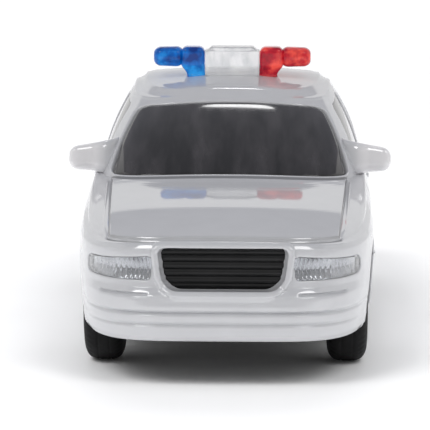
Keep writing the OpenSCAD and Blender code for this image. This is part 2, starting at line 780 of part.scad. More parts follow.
module steering_wheel() {
    color("#17181a") steer_place() {
        translate([0, 0, -steer_bite])
            cylinder(r = steer_column, h = steer_reach + steer_bite, $fn = round_steps);
        translate([0, 0, steer_reach]) {
            rotate_extrude($fn = round_steps) translate([steer_radius, 0])
                circle(steer_rim, $fn = round_steps);
            for (turn = [0, 120, 240]) rotate([0, 0, turn]) rotate([-90, 0, 0])
                cylinder(r = steer_rim, h = steer_radius, $fn = round_steps);
        }
    }
}

// Base: bearing blocks, slots for the axles, wheel cut-outs, ribs under the tub and relief below
block_width = 2.4;
block_length = 4.2;
block_rise = 1.1;
block_gap = 0.5;
block_x = tyre_back_x - block_gap - block_width;
slot_floor = 0.4;
slot_half = axle_diameter / 2 + arch_gap;
rib_thickness = 1.2;
rib_inset = 3.0;
panel_width = 12;
panel_length = 18;
panel_y = (front_axle_y + rear_axle_y) / 2;
pipe_radius = 0.32;
pipe_x = 4.6;

module base_outline() {
    difference() {
        polygon([for (p = skin_ring(wall_ring(1), wall + base_clearance, inner_steps, end_wall - wall))
            [p[0], p[1]]]);
        for (y = axle_ys, side = [0, 1]) mirror([side, 0])
            translate([tyre_back_x - block_gap, y - arch_radius]) square([half_width, 2 * arch_radius]);
    }
}

module baseplate() {
    bore = axle_diameter / 2 + axle_clearance;
    pipe_y = panel_y + panel_length / 2;
    color("#1a1a1c") difference() {
        union() {
            translate([0, 0, base_low]) linear_extrude(base_thickness) base_outline();
            for (y = axle_ys) both_sides() translate([block_x, y - block_length / 2, base_low])
                cube([block_width, block_length, axle_height + bore + block_rise - base_low]);
            for (y = [tub_front + rib_inset, tub_rear - rib_inset])
                translate([rib_inset - tub_half_width, y - rib_thickness / 2, base_low])
                    cube([2 * (tub_half_width - rib_inset), rib_thickness, tub_floor - base_low]);
            translate([-panel_width / 2, panel_y - panel_length / 2, base_low - panel_drop])
                cube([panel_width, panel_length, panel_drop + base_thickness]);
            both_sides() translate([pipe_x, pipe_y, base_low]) rotate([-90, 0, 0])
                cylinder(r = pipe_radius, h = rear_axle_y + arch_radius - pipe_y, $fn = round_steps);
        }
        for (y = axle_ys) {
            translate([-half_width, y, axle_height]) along_x()
                cylinder(r = bore, h = body_width, $fn = round_steps);
            translate([-block_x, y - slot_half, base_low + slot_floor])
                cube([2 * block_x, 2 * slot_half, base_thickness]);
        }
        for (y = post_ys) translate([0, y, base_low - overrun])
            cylinder(r = rivet_radius + insert_clearance, h = base_thickness + 2 * overrun,
                     $fn = round_steps);
    }
}

module base_rivets() {
    color("#a9adb2") for (y = post_ys) translate([0, y, base_low]) {
        cylinder(r = rivet_radius, h = base_thickness + rivet_grip, $fn = round_steps);
        translate([0, 0, -rivet_head_height])
            cylinder(r1 = rivet_head_radius - rivet_head_height, r2 = rivet_head_radius,
                     h = rivet_head_height, $fn = round_steps);
    }
}

// Axles: plain rods whose ends stop inside the wheel hubs
hub_cover = 1.0;

module axle(y) {
    half = tyre_face_x - hub_cover;
    color("#b4b8bd") translate([-half, y, axle_height]) along_x()
        cylinder(d = axle_diameter, h = 2 * half, $fn = round_steps);
}

// Wheels: a steel-wheel pattern with a ring of vent holes and a domed centre cap
rim_inset = 0.25;
rim_wall = 0.55;
disc_thickness = 0.7;
disc_dish = 0.9;
hub_radius = 1.35;
hub_reach = 0.25;
hub_seat = 0.01;
hub_spare = 0.15;
cap_radius = 1.5;
cap_height = 0.45;
cap_dome_shares = [[1, 0], [0.9, 0.45], [0.65, 0.8], [0.3, 0.96], [0, 1]];
vent_count = 10;
vent_radius = 0.3;
vent_ring_share = 0.66;

module wheel() {
    rim = rim_diameter / 2;
    width = tyre_width - 2 * rim_inset;
    face = width - disc_dish;
    disc_top = face + disc_thickness;
    translate([tyre_back_x + rim_inset, 0, 0]) along_x() difference() {
        union() {
            rotate_extrude($fn = round_steps) polygon(concat(
                [[rim - rim_wall, 0], [rim, 0], [rim, width], [rim - rim_wall / 2, width],
                 [rim - rim_wall, disc_top]],
                [for (d = cap_dome_shares) [cap_radius * d[0], disc_top + cap_height * d[1]]],
                [[0, face], [rim - rim_wall, face]]));
            translate([0, 0, -hub_reach]) cylinder(r = hub_radius, h = face + hub_reach, $fn = round_steps);
        }
        translate([0, 0, -overrun])
            cylinder(d = axle_diameter + 2 * hub_seat,
                     h = overrun + width + rim_inset - hub_cover + hub_spare, $fn = round_steps);
        for (i = [0:vent_count - 1]) rotate([0, 0, 360 * i / vent_count])
            translate([rim * vent_ring_share, 0, face - overrun / 2])
                cylinder(r = vent_radius, h = disc_thickness + overrun, $fn = round_steps);
    }
}

// Tyres: rounded shoulders and two grooves round the tread
tyre_shoulder = 1.1;
groove_width = 0.25;
groove_depth = 0.15;
groove_share = 0.42;
tyre_seat = 0.015;

module tyre() {
    rim = rim_diameter / 2 + tyre_seat;
    tread = tyre_diameter / 2;
    low = tread - groove_depth;
    g0 = tyre_width * groove_share;
    g1 = tyre_width - g0;
    arc = [for (i = [0:4])
        [tread - tyre_shoulder * (1 - sin(22.5 * i)), tyre_shoulder * (1 - cos(22.5 * i))]];
    translate([tyre_back_x, 0, 0]) along_x() rotate_extrude($fn = round_steps) polygon(concat(
        [[rim, 0]], arc,
        [[tread, g0 - groove_width], [low, g0 - groove_width], [low, g0], [tread, g0]],
        [[tread, g1], [low, g1], [low, g1 + groove_width], [tread, g1 + groove_width]],
        [for (i = [4:-1:0]) [arc[i][0], tyre_width - arc[i][1]]], [[rim, tyre_width]]));
}

module left_at(y) {
    translate([0, y, axle_height]) children();
}

module right_at(y) {
    mirror([1, 0, 0]) left_at(y) children();
}

body_shell();
window_insert();
grille_insert();
color("#c9ccd2") lamp(headlight_corner_shares);  // headlight_left
color("#c9ccd2") mirror([1, 0, 0]) lamp(headlight_corner_shares);  // headlight_right
color("#a3152a") lamp(tail_light_corner_shares);  // tail_light_left
color("#a3152a") mirror([1, 0, 0]) lamp(tail_light_corner_shares);  // tail_light_right
light_bar_clear_lens();
light_bar_blue_lens();
light_bar_red_lens();
interior_tub();
dashboard();
steering_wheel();
baseplate();
base_rivets();
axle(front_axle_y);  // front_axle
axle(rear_axle_y);  // rear_axle
color("#8f9296") left_at(front_axle_y) wheel();  // front_left_wheel
color("#8f9296") right_at(front_axle_y) wheel();  // front_right_wheel
color("#8f9296") left_at(rear_axle_y) wheel();  // rear_left_wheel
color("#8f9296") right_at(rear_axle_y) wheel();  // rear_right_wheel
color("#151515") left_at(front_axle_y) tyre();  // front_left_tyre
color("#151515") right_at(front_axle_y) tyre();  // front_right_tyre
color("#151515") left_at(rear_axle_y) tyre();  // rear_left_tyre
color("#151515") right_at(rear_axle_y) tyre();  // rear_right_tyre
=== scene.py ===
# %% [markdown]
# # A toy police car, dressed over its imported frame
# The construction model gives every piece its place and size. This script loads that model as a fixed frame,
# gives the pieces that show their fine shapes and finishes, and sets up the studio of the photograph.
# Such shapes could be sculpted by hand, but then a size could not be changed later. Here each one is a formula over
# a grid of numbers, so that a reader can follow it and alter it.
# All lengths below are written in millimetres and turned into metres when a mesh is made.

# %% Load the frame
import json

import bpy
import numpy as np
from mathutils import Matrix, Vector


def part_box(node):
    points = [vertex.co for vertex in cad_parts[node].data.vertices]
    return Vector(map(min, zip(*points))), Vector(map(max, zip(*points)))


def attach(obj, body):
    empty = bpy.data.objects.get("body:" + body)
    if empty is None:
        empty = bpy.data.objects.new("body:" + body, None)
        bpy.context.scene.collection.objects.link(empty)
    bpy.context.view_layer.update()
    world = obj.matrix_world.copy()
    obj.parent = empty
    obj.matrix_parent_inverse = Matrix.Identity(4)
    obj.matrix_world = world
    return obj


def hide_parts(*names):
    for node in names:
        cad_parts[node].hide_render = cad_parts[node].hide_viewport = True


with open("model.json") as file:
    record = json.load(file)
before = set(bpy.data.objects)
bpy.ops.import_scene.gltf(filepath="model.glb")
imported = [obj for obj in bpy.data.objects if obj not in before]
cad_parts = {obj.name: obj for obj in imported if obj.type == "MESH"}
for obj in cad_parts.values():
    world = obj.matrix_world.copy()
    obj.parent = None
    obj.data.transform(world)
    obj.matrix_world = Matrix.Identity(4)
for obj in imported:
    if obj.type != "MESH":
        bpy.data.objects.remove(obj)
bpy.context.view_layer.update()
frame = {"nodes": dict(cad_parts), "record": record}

MM = 0.001

# %% [markdown]
# ## Camera
# The photograph was taken from in front, a little above the hood, with a long lens. The camera stands 330 mm
# from the car, 7 degrees up and 1 degree round, and looks at a point just below the windscreen. A shifted lens could
# frame the car as well, but aiming the camera needs one setting less.

# %% Place the camera
VIEW_TURN, VIEW_RISE, VIEW_ROLL = 1.07, 7.0, 0.21
VIEW_DISTANCE = 330.0
SIGHT = np.array([0.0, 0.0, 12.0])
AIM_RIGHT, AIM_UP = -1.703, -1.642
LENS_MM = 272.5

turn, rise, roll = np.radians([VIEW_TURN, VIEW_RISE, VIEW_ROLL])
back = np.array([np.sin(turn) * np.cos(rise), -np.cos(turn) * np.cos(rise), np.sin(rise)])
right = np.cross(-back, [0, 0, 1.0])
right /= np.linalg.norm(right)
up = np.cross(right, -back)
right, up = np.cos(roll) * right + np.sin(roll) * up, np.cos(roll) * up - np.sin(roll) * right
eye = SIGHT + VIEW_DISTANCE * back
look = SIGHT + AIM_RIGHT * right + AIM_UP * up - eye
look /= np.linalg.norm(look)
side = right - look * (right @ look)
side /= np.linalg.norm(side)
turned = np.stack([side, np.cross(side, look), -look], axis=1)

camera_data = bpy.data.cameras.new("camera")
camera_data.sensor_width = 36.0
camera_data.lens = LENS_MM
camera_data.clip_start, camera_data.clip_end = 0.01, 20.0
camera = bpy.data.objects.new("camera", camera_data)
camera.matrix_world = Matrix.Translation(Vector(eye * MM)) @ Matrix(turned.tolist()).to_4x4()
bpy.context.scene.collection.objects.link(camera)
bpy.context.scene.camera = camera
print("camera at", (eye * MM).round(4).tolist())

# %% [markdown]
# ## A small language for materials
# A material is a network of nodes. It could be wired by hand in the editor, or node by node in code, but then the
# idea of a finish is lost among its links. Here a Shade wraps one value of the network, and arithmetic on Shades
# adds the Math nodes, so a finish reads like a formula.

# %% One value of a network
class Shade:
    """One value in a network. Arithmetic on it adds Math nodes to the same network."""

    def __init__(self, tree, socket):
        self.tree, self.socket = tree, socket

    def math(self, operation, first, second):
        """The result of a Math node, from two Shades or numbers."""
        node = self.tree.nodes.new("ShaderNodeMath")
        node.operation = operation
        for entry, value in zip(node.inputs, (first, second)):
            plug(self.tree, entry, value)
        return Shade(self.tree, node.outputs[0])

    def __sub__(self, other):
        return self.math("SUBTRACT", self, other)

    def __rsub__(self, other):
        return self.math("SUBTRACT", other, self)

    def __mul__(self, other):
        return self.math("MULTIPLY", self, other)

    __rmul__ = __mul__


def plug(tree, entry, value):
    """Links a Shade to a socket, or sets the socket's own value."""
    if isinstance(value, Shade):
        tree.links.new(value.socket, entry)
    else:
        entry.default_value = value


def over(value, limit):
    """How far a Shade lies above a limit, and zero where it lies below."""
    return value.math("MAXIMUM", value - limit, 0.0)


print("made", Shade.__name__, plug.__name__, over.__name__)

# %% [markdown]
# A Network holds the nodes, and its add() makes any node from its type, its settings and what goes into its sockets.
# A Finish is the network of one material. It measures in the object's own coordinates, so that a grain stays on its
# piece wherever the piece goes, and it ends in one Principled shader, which serves paint, plastic, glass and metal.

# %% Networks and finishes
class Network:
    """The nodes of a material or of the world, empty at first."""

    def __init__(self, tree):
        self.tree = tree
        self.tree.nodes.clear()

    def add(self, kind, settings=(), sockets=(), output=0):
        """A node's output, if it has one, once the node has its settings, its colour stops and its inputs."""
        node = self.tree.nodes.new("ShaderNode" + kind)
        for key, value in dict(settings).items():
            if key == "stops":
                ramp = node.color_ramp
                while len(ramp.elements) < len(value):
                    ramp.elements.new(0.5)
                for element, (at, colour) in zip(ramp.elements, value):
                    element.position, element.color = at, (*colour, 1.0)
            else:
                setattr(node, key, value)
        for key, value in dict(sockets).items():
            plug(self.tree, node.inputs[key], value)
        return Shade(self.tree, node.outputs[output]) if node.outputs else None

    def ramp(self, value, stops):
        """A colour between the stops, by a value from 0 to 1."""
        return self.add("ValToRGB", {"stops": stops}, {"Fac": value})


class Finish(Network):
    """One material, measured in the object's own coordinates. coat() closes it with a Principled shader."""

    def __init__(self, name):
        self.material = bpy.data.materials.new(name)
        self.material.use_nodes = True
        super().__init__(self.material.node_tree)
        self.place = self.add("TexCoord", output="Object")

    def noise(self, per_mm, detail=2.0, roughness=0.5, stretch=(1.0, 1.0, 1.0)):
        """Soft random values from 0 to 1 with about per_mm waves in a millimetre."""
        spot = self.add("Mapping", sockets={"Vector": self.place, "Scale": stretch})
        return self.add("TexNoise", sockets={"Vector": spot, "Scale": per_mm / MM, "Detail": detail,
                                             "Roughness": roughness})

    def layer(self, name):
        """A value that the mesh carries at its points, and zero where it carries none."""
        return self.add("Attribute", {"attribute_name": name}, output="Fac")

    def blend(self, share, first, second):
        """The first colour, going over to the second as the share goes from 0 to 1."""
        first_colour, second_colour, mixed_colour = 6, 7, 2
        sockets = {"Factor": share, first_colour: first, second_colour: (*second, 1.0)}
        return self.add("Mix", {"data_type": "RGBA"}, sockets, output=mixed_colour)

    def spread(self, value, low, high):
        """Brings a 0 to 1 value into a range, and keeps it there."""
        return self.add("MapRange", {"clamp": True}, {"Value": value, "To Min": low, "To Max": high})

    def bump(self, height, depth_mm, strength=1.0, under=None):
        """Lights a surface as if it were raised by height times depth_mm, over another such relief if one is given."""
        sockets = {"Height": height, "Distance": depth_mm * MM, "Strength": strength}
        if under:
            sockets["Normal"] = under
        return self.add("Bump", sockets=sockets, output="Normal")

    def coat(self, **sockets):
        """Puts the named values into a Principled shader, with _ for spaces, and ends the material there."""
        names = {key.replace("_", " "): value for key, value in sockets.items()}
        shader = self.add("BsdfPrincipled", sockets=names)
        self.add("OutputMaterial", sockets={"Surface": shader})
        return self.material


print("made", Network.__name__, Finish.__name__)

# %% [markdown]
# ## Enamel
# The body is zinc under gloss white enamel: almost even, with a very fine orange peel and a hard, clear shine. The
# mirrors are painted whiter towards their tips, a painted highlight for the light that falls on them, and the shut
# lines are painted dark, a painted shade for the shade in the grooves. A painted picture could hold all this, but
# values that the meshes carry need no picture and follow a change of shape.

# %% White enamel
def enamel():
    """Clouded white. It is painted whiter by the pooled layer at the mirrors' tips, as a painted highlight,
    and painted darker by the square of the line layer, as painted shade in the shut lines. Its relief is the peel over
    the swell layer, which gives the hood the slope that it is lit by."""
    f = Finish("white_enamel")
    cloud, peel = f.noise(0.35, detail=3.0), f.noise(2.2, detail=2.0)
    thin = f.ramp(cloud, [(0.3, (0.62, 0.625, 0.648)), (0.7, (0.645, 0.65, 0.673))])
    # Painted highlight: the mirrors are painted whiter towards their tips, where light falls on them. thin is the
    # enamel's own clouded tone under it.
    paint = f.blend(f.layer("pooled"), thin, (0.88, 0.865, 0.88))
    # Painted shade: the shut lines are painted up to 0.6 of the way to near black, for the shade in the grooves.
    line = f.layer("line")
    colour = f.blend(0.6 * (line * line), paint, (0.10, 0.10, 0.11))
    return f.coat(Base_Color=colour, Roughness=f.spread(cloud, 0.03, 0.07), IOR=2.05,
                  Normal=f.bump(peel, 0.002, 0.3, under=f.bump(f.layer("swell"), 1.0)))


FINISH = {"body_enamel": enamel()}
print("finishes", sorted(FINISH))

# %% [markdown]
# ## Plastics, metals and rubber
# The glazing is smoked plastic with faint flow marks from its mould. Black and grey mouldings are matt with a fine
# grain, wire and rivets are bright metal, drawn along the axle, and the tyres are dull black with a little dust.
# Each could be wired by itself, but all are tones in a broad cloud under a finer grain. So one function makes them,
# and each process gives it the size and direction of the grain that it leaves.

# %% Glazing, mouldings, metals and tyres
def grained(name, cloud, grain, stops, rough, bump, glow=0.0, **more):
    """Tones that follow a cloud, and a grain that sets the roughness and a shallow relief. Cloud and grain are what
    noise() takes, and without a grain the cloud serves as one. Glow is painted light: the tones shine by themselves
    at that strength."""
    f = Finish(name)
    broad = f.noise(*cloud)
    fine = f.noise(*grain) if grain else broad
    colour = f.ramp(broad, stops)
    # Painted glow: emission in the tones' own colour, though the part is no lamp.
    if glow:
        more.update(Emission_Color=colour, Emission_Strength=glow)
    return f.coat(Base_Color=colour, Roughness=f.spread(fine, *rough), Normal=f.bump(fine, *bump), **more)


def moulded_black(name, rough=(0.45, 0.62), tone=0.014):
    """Matt black, 1.8 times as light where its cloud is thick."""
    stops = [(0.3, (tone, tone, tone * 1.06)), (0.75, (tone * 1.8, tone * 1.8, tone * 1.9))]
    return grained(name, (0.4, 3.0), (3.0, 3.0), stops, rough, (0.01, 0.5), Specular_IOR_Level=0.3)


def moulded_grey(name, tone):
    """A matt tone, darker by 15 % where its cloud is thin."""
    stops = [(0.3, tuple(0.85 * t for t in tone)), (0.7, tone)]
    return grained(name, (0.3, 3.0), (2.5, 2.0), stops, (0.5, 0.7), (0.012, 0.5))


def bright_metal(name, tone, streak=(1.0, 1.0, 1.0)):
    """Bare metal, darker by 20 % in its streaks."""
    stops = [(0.3, tuple(0.8 * t for t in tone)), (0.7, tone)]
    return grained(name, (1.6, 3.0, 0.5, streak), None, stops, (0.22, 0.42), (0.004, 0.4), Metallic=1.0)


FINISH.update({
    "smoked_glazing": grained(
        "smoked_glazing", (0.45, 4.0, 0.6, (1.0, 0.3, 0.3)), None,
        [(0.38, (0.005, 0.0045, 0.0055)), (0.7, (0.046, 0.042, 0.046))], (0.05, 0.12), (0.01, 0.35),
        Coat_Weight=0.6, Coat_Roughness=0.03),
    "grille_black": moulded_black("grille_black", (0.25, 0.4), 0.008),
    "cabin_grey": moulded_grey("cabin_grey", (0.06, 0.062, 0.068)),
    "cabin_black": moulded_black("cabin_black"),
    "base_black": moulded_black("base_black"),
    "rivet_zinc": bright_metal("rivet_zinc", (0.55, 0.56, 0.58)),
    "axle_steel": bright_metal("axle_steel", (0.56, 0.57, 0.59), (8.0, 1.0, 1.0)),
    "wheel_silver": bright_metal("wheel_silver", (0.42, 0.43, 0.45)),
    "tyre_black": grained(
        "tyre_rubber", (0.5, 4.0), (4.0, 2.0), [(0.35, (0.003, 0.003, 0.0035)), (0.8, (0.009, 0.0085, 0.0095))],
        (0.6, 0.82), (0.015, 0.5), Specular_IOR_Level=0.3),
})
for slot in frame["record"]["materials"]:
    if slot["slot"] not in FINISH:
        FINISH[slot["slot"]] = moulded_grey(slot["slot"], tuple(slot["base_color"][:3]))
for part in frame["record"]["subparts"]:
    materials = frame["nodes"][part["node"]].data.materials
    materials.clear()
    materials.append(FINISH[part["material_slot"]])
print("finishes", sorted(FINISH))

# %% [markdown]
# ## Floor
# The car stands on a pale sheet of paper. A curved backdrop would do too, but a wide flat sheet runs out to white
# by itself under strong light.

# %% A pale sheet
FLOOR_REACH = 3000.0
paper = grained("pale_sheet", (0.02, 3.0), (0.6, 3.0), [(0.3, (0.94, 0.94, 0.94)), (0.7, (0.97, 0.97, 0.97))],
                (0.6, 0.75), (0.05, 0.25))
corners = [(x * MM, y * MM, 0.0) for y in (-FLOOR_REACH, FLOOR_REACH) for x in (-FLOOR_REACH, FLOOR_REACH)]
floor_mesh = bpy.data.meshes.new("floor")
floor_mesh.from_pydata(corners, [], [[0, 1, 3, 2]])
floor_mesh.materials.append(paper)
floor = bpy.data.objects.new("floor", floor_mesh)
bpy.context.scene.collection.objects.link(floor)
print("floor", 2 * FLOOR_REACH, "mm wide")

# %% [markdown]
# ## Lights
# A photographer would light the sheet and the car apart, so that the paper burns out to white and the enamel does
# not. Three large lights are linked to the floor alone. Two soft round ones in front give the paint its glints and
# little fill, and a small one behind the roof makes the bright spot at the top of the windscreen.

# %% Soft lights
def soft_light(name, place, aim, size, power, fill=1.0, floor_only=False):
    """An oval light of a given width and height that faces a point, all in millimetres. Fill weighs the light that
    it spreads against its reflections."""
    data = bpy.data.lights.new(name, "AREA")
    data.shape, data.size, data.size_y, data.energy = "ELLIPSE", size[0] * MM, size[1] * MM, power
    data.diffuse_factor = fill
    light = bpy.data.objects.new(name, data)
    light.location = Vector(place) * MM
    light.rotation_euler = (Vector(aim) - Vector(place)).to_track_quat("-Z", "Y").to_euler()
    bpy.context.scene.collection.objects.link(light)
    if floor_only:
        lit = bpy.data.collections.new(name + "_lights")
        lit.objects.link(floor)
        light.light_linking.receiver_collection = lit


soft_light("sheet_left", (-280, -340, 500), (0, -40, 0), (360, 360), 1.3, floor_only=True)
soft_light("sheet_right", (280, -340, 500), (0, -40, 0), (360, 360), 0.8, floor_only=True)
soft_light("sheet_behind", (0, 900, 700), (0, 900, 0), (900, 900), 4.3, floor_only=True)
soft_light("front_left", (-250, -330, 520), (0, 0, 10), (220, 220), 0.53, fill=0.15)
soft_light("front_right", (250, -330, 520), (0, 0, 10), (220, 220), 0.4, fill=0.15)
soft_light("over_roof", (0, 312, 530), (0, -8, 22), (72, 20), 0.03, fill=0.0)
print("lights", sorted(light.name for light in bpy.data.lights))

# %% [markdown]
# ## Tent
# Gloss paint looks like what it mirrors. The toy was shot in a bright tent with a dimmer strip overhead, which the
# front of the hood, the roof and the windscreen mirror as grey and black. Big cards could be placed for it, but the
# world's own colour does it with no object: it is bright low down and at the sides, dim where a direction rises
# steeply in the middle, and weaker in front of the car than behind it.

# %% A bright tent with a dim strip overhead
STRIP_HALF, STRIP_EDGE = 0.56, 4.0
TENT_FRONT, TENT_BACK = 0.48, 1.1
world = bpy.data.worlds.new("tent")
world.use_nodes = True
tent = Network(world.node_tree)
sky = tent.add("TexCoord", output="Generated")
across, behind, rising = (tent.add("SeparateXYZ", sockets={"Vector": sky}, output=axis) for axis in "XYZ")
aside = over(across.math("ABSOLUTE", across, 0.0), STRIP_HALF)
ahead = over(0.0 - behind, 0.0)
glow = tent.ramp(rising - STRIP_EDGE * aside - ahead, [
    (0.0, (0.78, 0.78, 0.78)), (0.3, (0.88, 0.88, 0.88)), (0.5, (1.0, 1.0, 1.0)), (0.53, (0.36, 0.365, 0.405)),
    (0.75, (0.42, 0.425, 0.47)), (1.0, (0.48, 0.485, 0.53))])
power = tent.add("MapRange", sockets={"Value": behind, "From Min": -1.0, "From Max": 1.0,
                                      "To Min": TENT_FRONT, "To Max": TENT_BACK})
backdrop = tent.add("Background", sockets={"Color": glow, "Strength": power})
tent.add("OutputWorld", sockets={"Surface": backdrop})
bpy.context.scene.world = world
bpy.context.scene.view_settings.view_transform = "Standard"
print("tent nodes", len(world.node_tree.nodes))

# %% [markdown]
# ## The skin of the body: its levels
# The casting is one smooth skin. A point of it has a plan angle, which runs round the car from its left side,
# and a level, which runs from the lower edge (0) over the creases of the bumpers to the lip of the hood (13),
# the foot of the windows (14), the roof rail (15) and the middle of the roof (16). Patches of curves could be fitted
# together for this, but a table of levels has no seams. A mould maker would cut the shape with a ball cutter,
# so the creases are softened here by blurring the table.

# %% Table of levels, blurred
NOSE, TAIL, HALF_WIDTH = -42.0, 42.0, 14.0
LOWER_EDGE, LIP, BELT, RAIL, ROOF = 3.9, 13.1, 16.9, 23.6, 25.0
CROWN = 0.45
# Each row: height and tuck at the nose, at the sides and at the tail, and the crown, all as shares.
LEVEL_SHARES = np.array([
    [0.00, 0.61, 0.00, 0.62, 0.00, 0.66, 0], [0.06, 0.25, 0.04, 0.40, 0.05, 0.28, 0],
    [0.16, 0.08, 0.12, 0.29, 0.13, 0.08, 0], [0.19, 0.20, 0.15, 0.27, 0.16, 0.18, 0],
    [0.22, 0.05, 0.18, 0.28, 0.19, 0.05, 0], [0.285, 0.03, 0.25, 0.22, 0.25, 0.02, 0],
    [0.315, 0.22, 0.28, 0.20, 0.28, 0.20, 0], [0.345, 0.00, 0.31, 0.18, 0.31, 0.00, 0],
    [0.485, 0.06, 0.42, 0.10, 0.43, 0.08, 0], [0.55, 0.30, 0.49, 0.06, 0.49, 0.34, 0],
    [0.58, 0.42, 0.54, 0.03, 0.52, 0.42, 0], [0.95, 0.58, 0.70, 0.05, 0.84, 0.60, 0.6],
    [0.985, 0.72, 0.88, 0.32, 0.95, 0.74, 0.9], [1.00, 1.00, 1.00, 0.75, 1.00, 1.00, 1]])
# Each row: rise at the ends and at the sides as shares, and the power of the outline.
ROOF_AT = [0.0, 0.16, 0.48, 0.78, 1.0]
ROOF_SHARES = [[0, 0, 4.5], [0.48, 0.75, 3.2], [0.84, 0.92, 2.8], [0.97, 0.98, 2.4], [1, 1, 2.4]]


def blurred(places, rows, span, count=1301):
    """A table as fine steps between its rows, averaged with a bell curve of a given span."""
    fine = np.linspace(places[0], places[-1], count)
    table = np.stack([np.interp(fine, places, column) for column in np.asarray(rows, float).T], axis=1)
    reach = int(4 * span / (fine[1] - fine[0])) + 1
    weights = np.exp(-0.5 * (np.arange(-reach, reach + 1) * (fine[1] - fine[0]) / span) ** 2)
    padded = np.pad(table, ((reach, reach), (0, 0)), mode="reflect", reflect_type="odd")
    smooth = np.stack([np.convolve(column, weights / weights.sum(), "valid") for column in padded.T], axis=1)
    return lambda at: np.stack([np.interp(at, fine, column) for column in smooth.T], axis=-1)


wall_at = blurred(np.arange(14), LEVEL_SHARES, 0.08)
roof_at = blurred(ROOF_AT, ROOF_SHARES, 0.035)
print("shares at the bumper's upper crease", wall_at(6.0).round(3).tolist())

# %% [markdown]
# ## The skin of the body: its outlines
# Each level is a closed outline, a superellipse with its own heights at the nose, the sides and the tail. A ring
# holds what an outline needs: half width, front end, rear end, the three heights, the powers in front and
# behind, the crown, and four shares of an inset, for its width, its ends and its height at the sides and the ends.
# Rings can be mixed like colours, which gives every level between two known ones.

# %% A ring for every level
WALL_INSET, LIP_INSET, TOP_INSET = [1, 1, 0, 0], [0.7, 0.7, 0.7, 0.7], [0.7, 0.15, 0.7, 1]
SILL_INSET, RAIL_INSET, ROOF_INSET = [0.9, 0.52, 0.42, 0.85], [0.8, 0.45, 0.6, 0.9], [0.15, 0.15, 1, 1]
LIP_LEVEL, SILL_LEVEL, RAIL_LEVEL = 13.0, 14.0, 15.0
TUCK, NOSE_LIFT, TAIL_LIFT, SIDE_DROP, BOOT_DROP = 1.8, 0.3, 0.7, 0.8, 1.5
FRONT_POWER, REAR_POWER, EARLY_RISE = 5.0, 5.5, 0.62


def mix(a, b, t):
    """From a to b as t goes from 0 to 1."""
    return a + (b - a) * t


def step(x, low, high):
    """From 0 at low to 1 at high, flat at both ends: three times the square less twice the cube."""
    t = np.clip((x - low) / (high - low), 0, 1)
    return t * t * (3 - 2 * t)


def stack(level, *values):
    """Values of a ring side by side, each spread over all the levels."""
    return np.stack([np.broadcast_to(np.asarray(v, float), level.shape) for v in values], axis=-1)


def wall_rings(level):
    """From the lower edge to the hood's lip: heights and tucks are the table's shares of the main sizes."""
    w = wall_at(level)
    lean = np.clip(level - 12, 0, 1)[..., None]
    return np.concatenate([stack(
        level, HALF_WIDTH - w[..., 3], NOSE + TUCK * w[..., 1], TAIL - TUCK * w[..., 5],
        mix(LOWER_EDGE + NOSE_LIFT, LIP - CROWN, w[..., 0]), mix(LOWER_EDGE, BELT - SIDE_DROP, w[..., 2]),
        mix(LOWER_EDGE + TAIL_LIFT, BELT - BOOT_DROP - CROWN, w[..., 4]), FRONT_POWER, REAR_POWER, CROWN * w[..., 6]),
        mix(np.array(WALL_INSET, float), np.array(LIP_INSET), lean)], axis=-1)


LIP_RING = wall_rings(np.array(LIP_LEVEL))
SILL_RING = np.array([12.9, -16.464, 25.536, BELT - 0.9 - CROWN, BELT, BELT - 0.2 - CROWN, 5.5, 5.5, CROWN]
                     + SILL_INSET)
RAIL_RING = np.array([9.9, -6.3, 15.624, RAIL - 0.85 - CROWN, RAIL, RAIL - 0.55 - CROWN, 4.5, 4.5, CROWN]
                     + RAIL_INSET)
BULGE = 0.35 * np.array([1, -1, 1, 1, 0, 1] + [0] * 7)


def top_rings(t):
    """Hood and boot: from the lip's ring to the sill's, with heights that rise early."""
    straight = mix(LIP_RING, SILL_RING, t[..., None])
    raised = mix(LIP_RING, SILL_RING, (t ** EARLY_RISE)[..., None])
    return np.concatenate([straight[..., :3], raised[..., 3:6], straight[..., 6:8],
                           stack(t, CROWN, *TOP_INSET)], axis=-1)


def window_rings(t):
    """Windows: from the sill's ring to the rail's, with a parabola's bulge between."""
    return mix(SILL_RING, RAIL_RING, t[..., None]) + (4 * t * (1 - t))[..., None] * BULGE


def roof_rings(q):
    """Roof: the rail's ring shrinks to the middle while its heights rise by the shares of the table."""
    up_end, up_side, power = np.moveaxis(roof_at(q), -1, 0)
    middle = (RAIL_RING[1] + RAIL_RING[2]) / 2
    inset = mix(np.array(RAIL_INSET), np.array(ROOF_INSET), np.clip(q / 0.16, 0, 1)[..., None])
    return np.concatenate([stack(
        q, RAIL_RING[0] * (1 - q), mix(RAIL_RING[1], middle, q), mix(RAIL_RING[2], middle, q),
        mix(RAIL_RING[3], ROOF, up_end), mix(RAIL_RING[4], ROOF, up_side), mix(RAIL_RING[5], ROOF, up_end),
        power, power, CROWN * (1 - up_end)), inset], axis=-1)


print("half widths at lip, sill and rail", [float(ring[0].round(2)) for ring in (LIP_RING, SILL_RING, RAIL_RING)])

# %% [markdown]
# Any spot of the skin then follows from its plan angle and level. An inset sinks it, which makes grooves, panes,
# lamps and the inside of the wall from the same formula, so that they all fit the body.

# %% A point of the skin
def rings(level):
    """The ring of any level, by the part of the car that it lies in."""
    parts = [(level <= LIP_LEVEL, lambda v: wall_rings(np.clip(v, 0, LIP_LEVEL))),
             (level <= SILL_LEVEL, lambda v: top_rings(np.clip(v - LIP_LEVEL, 0, 1))),
             (level <= RAIL_LEVEL, lambda v: window_rings(np.clip(v - SILL_LEVEL, -0.05, 1.05))),
             (level > RAIL_LEVEL, lambda v: roof_rings(np.clip(v - RAIL_LEVEL, 0, 1)))]
    out = np.zeros(level.shape + (len(RAIL_RING),))
    for where, rule in reversed(parts):
        out = np.where(where[..., None], rule(level), out)
    return out


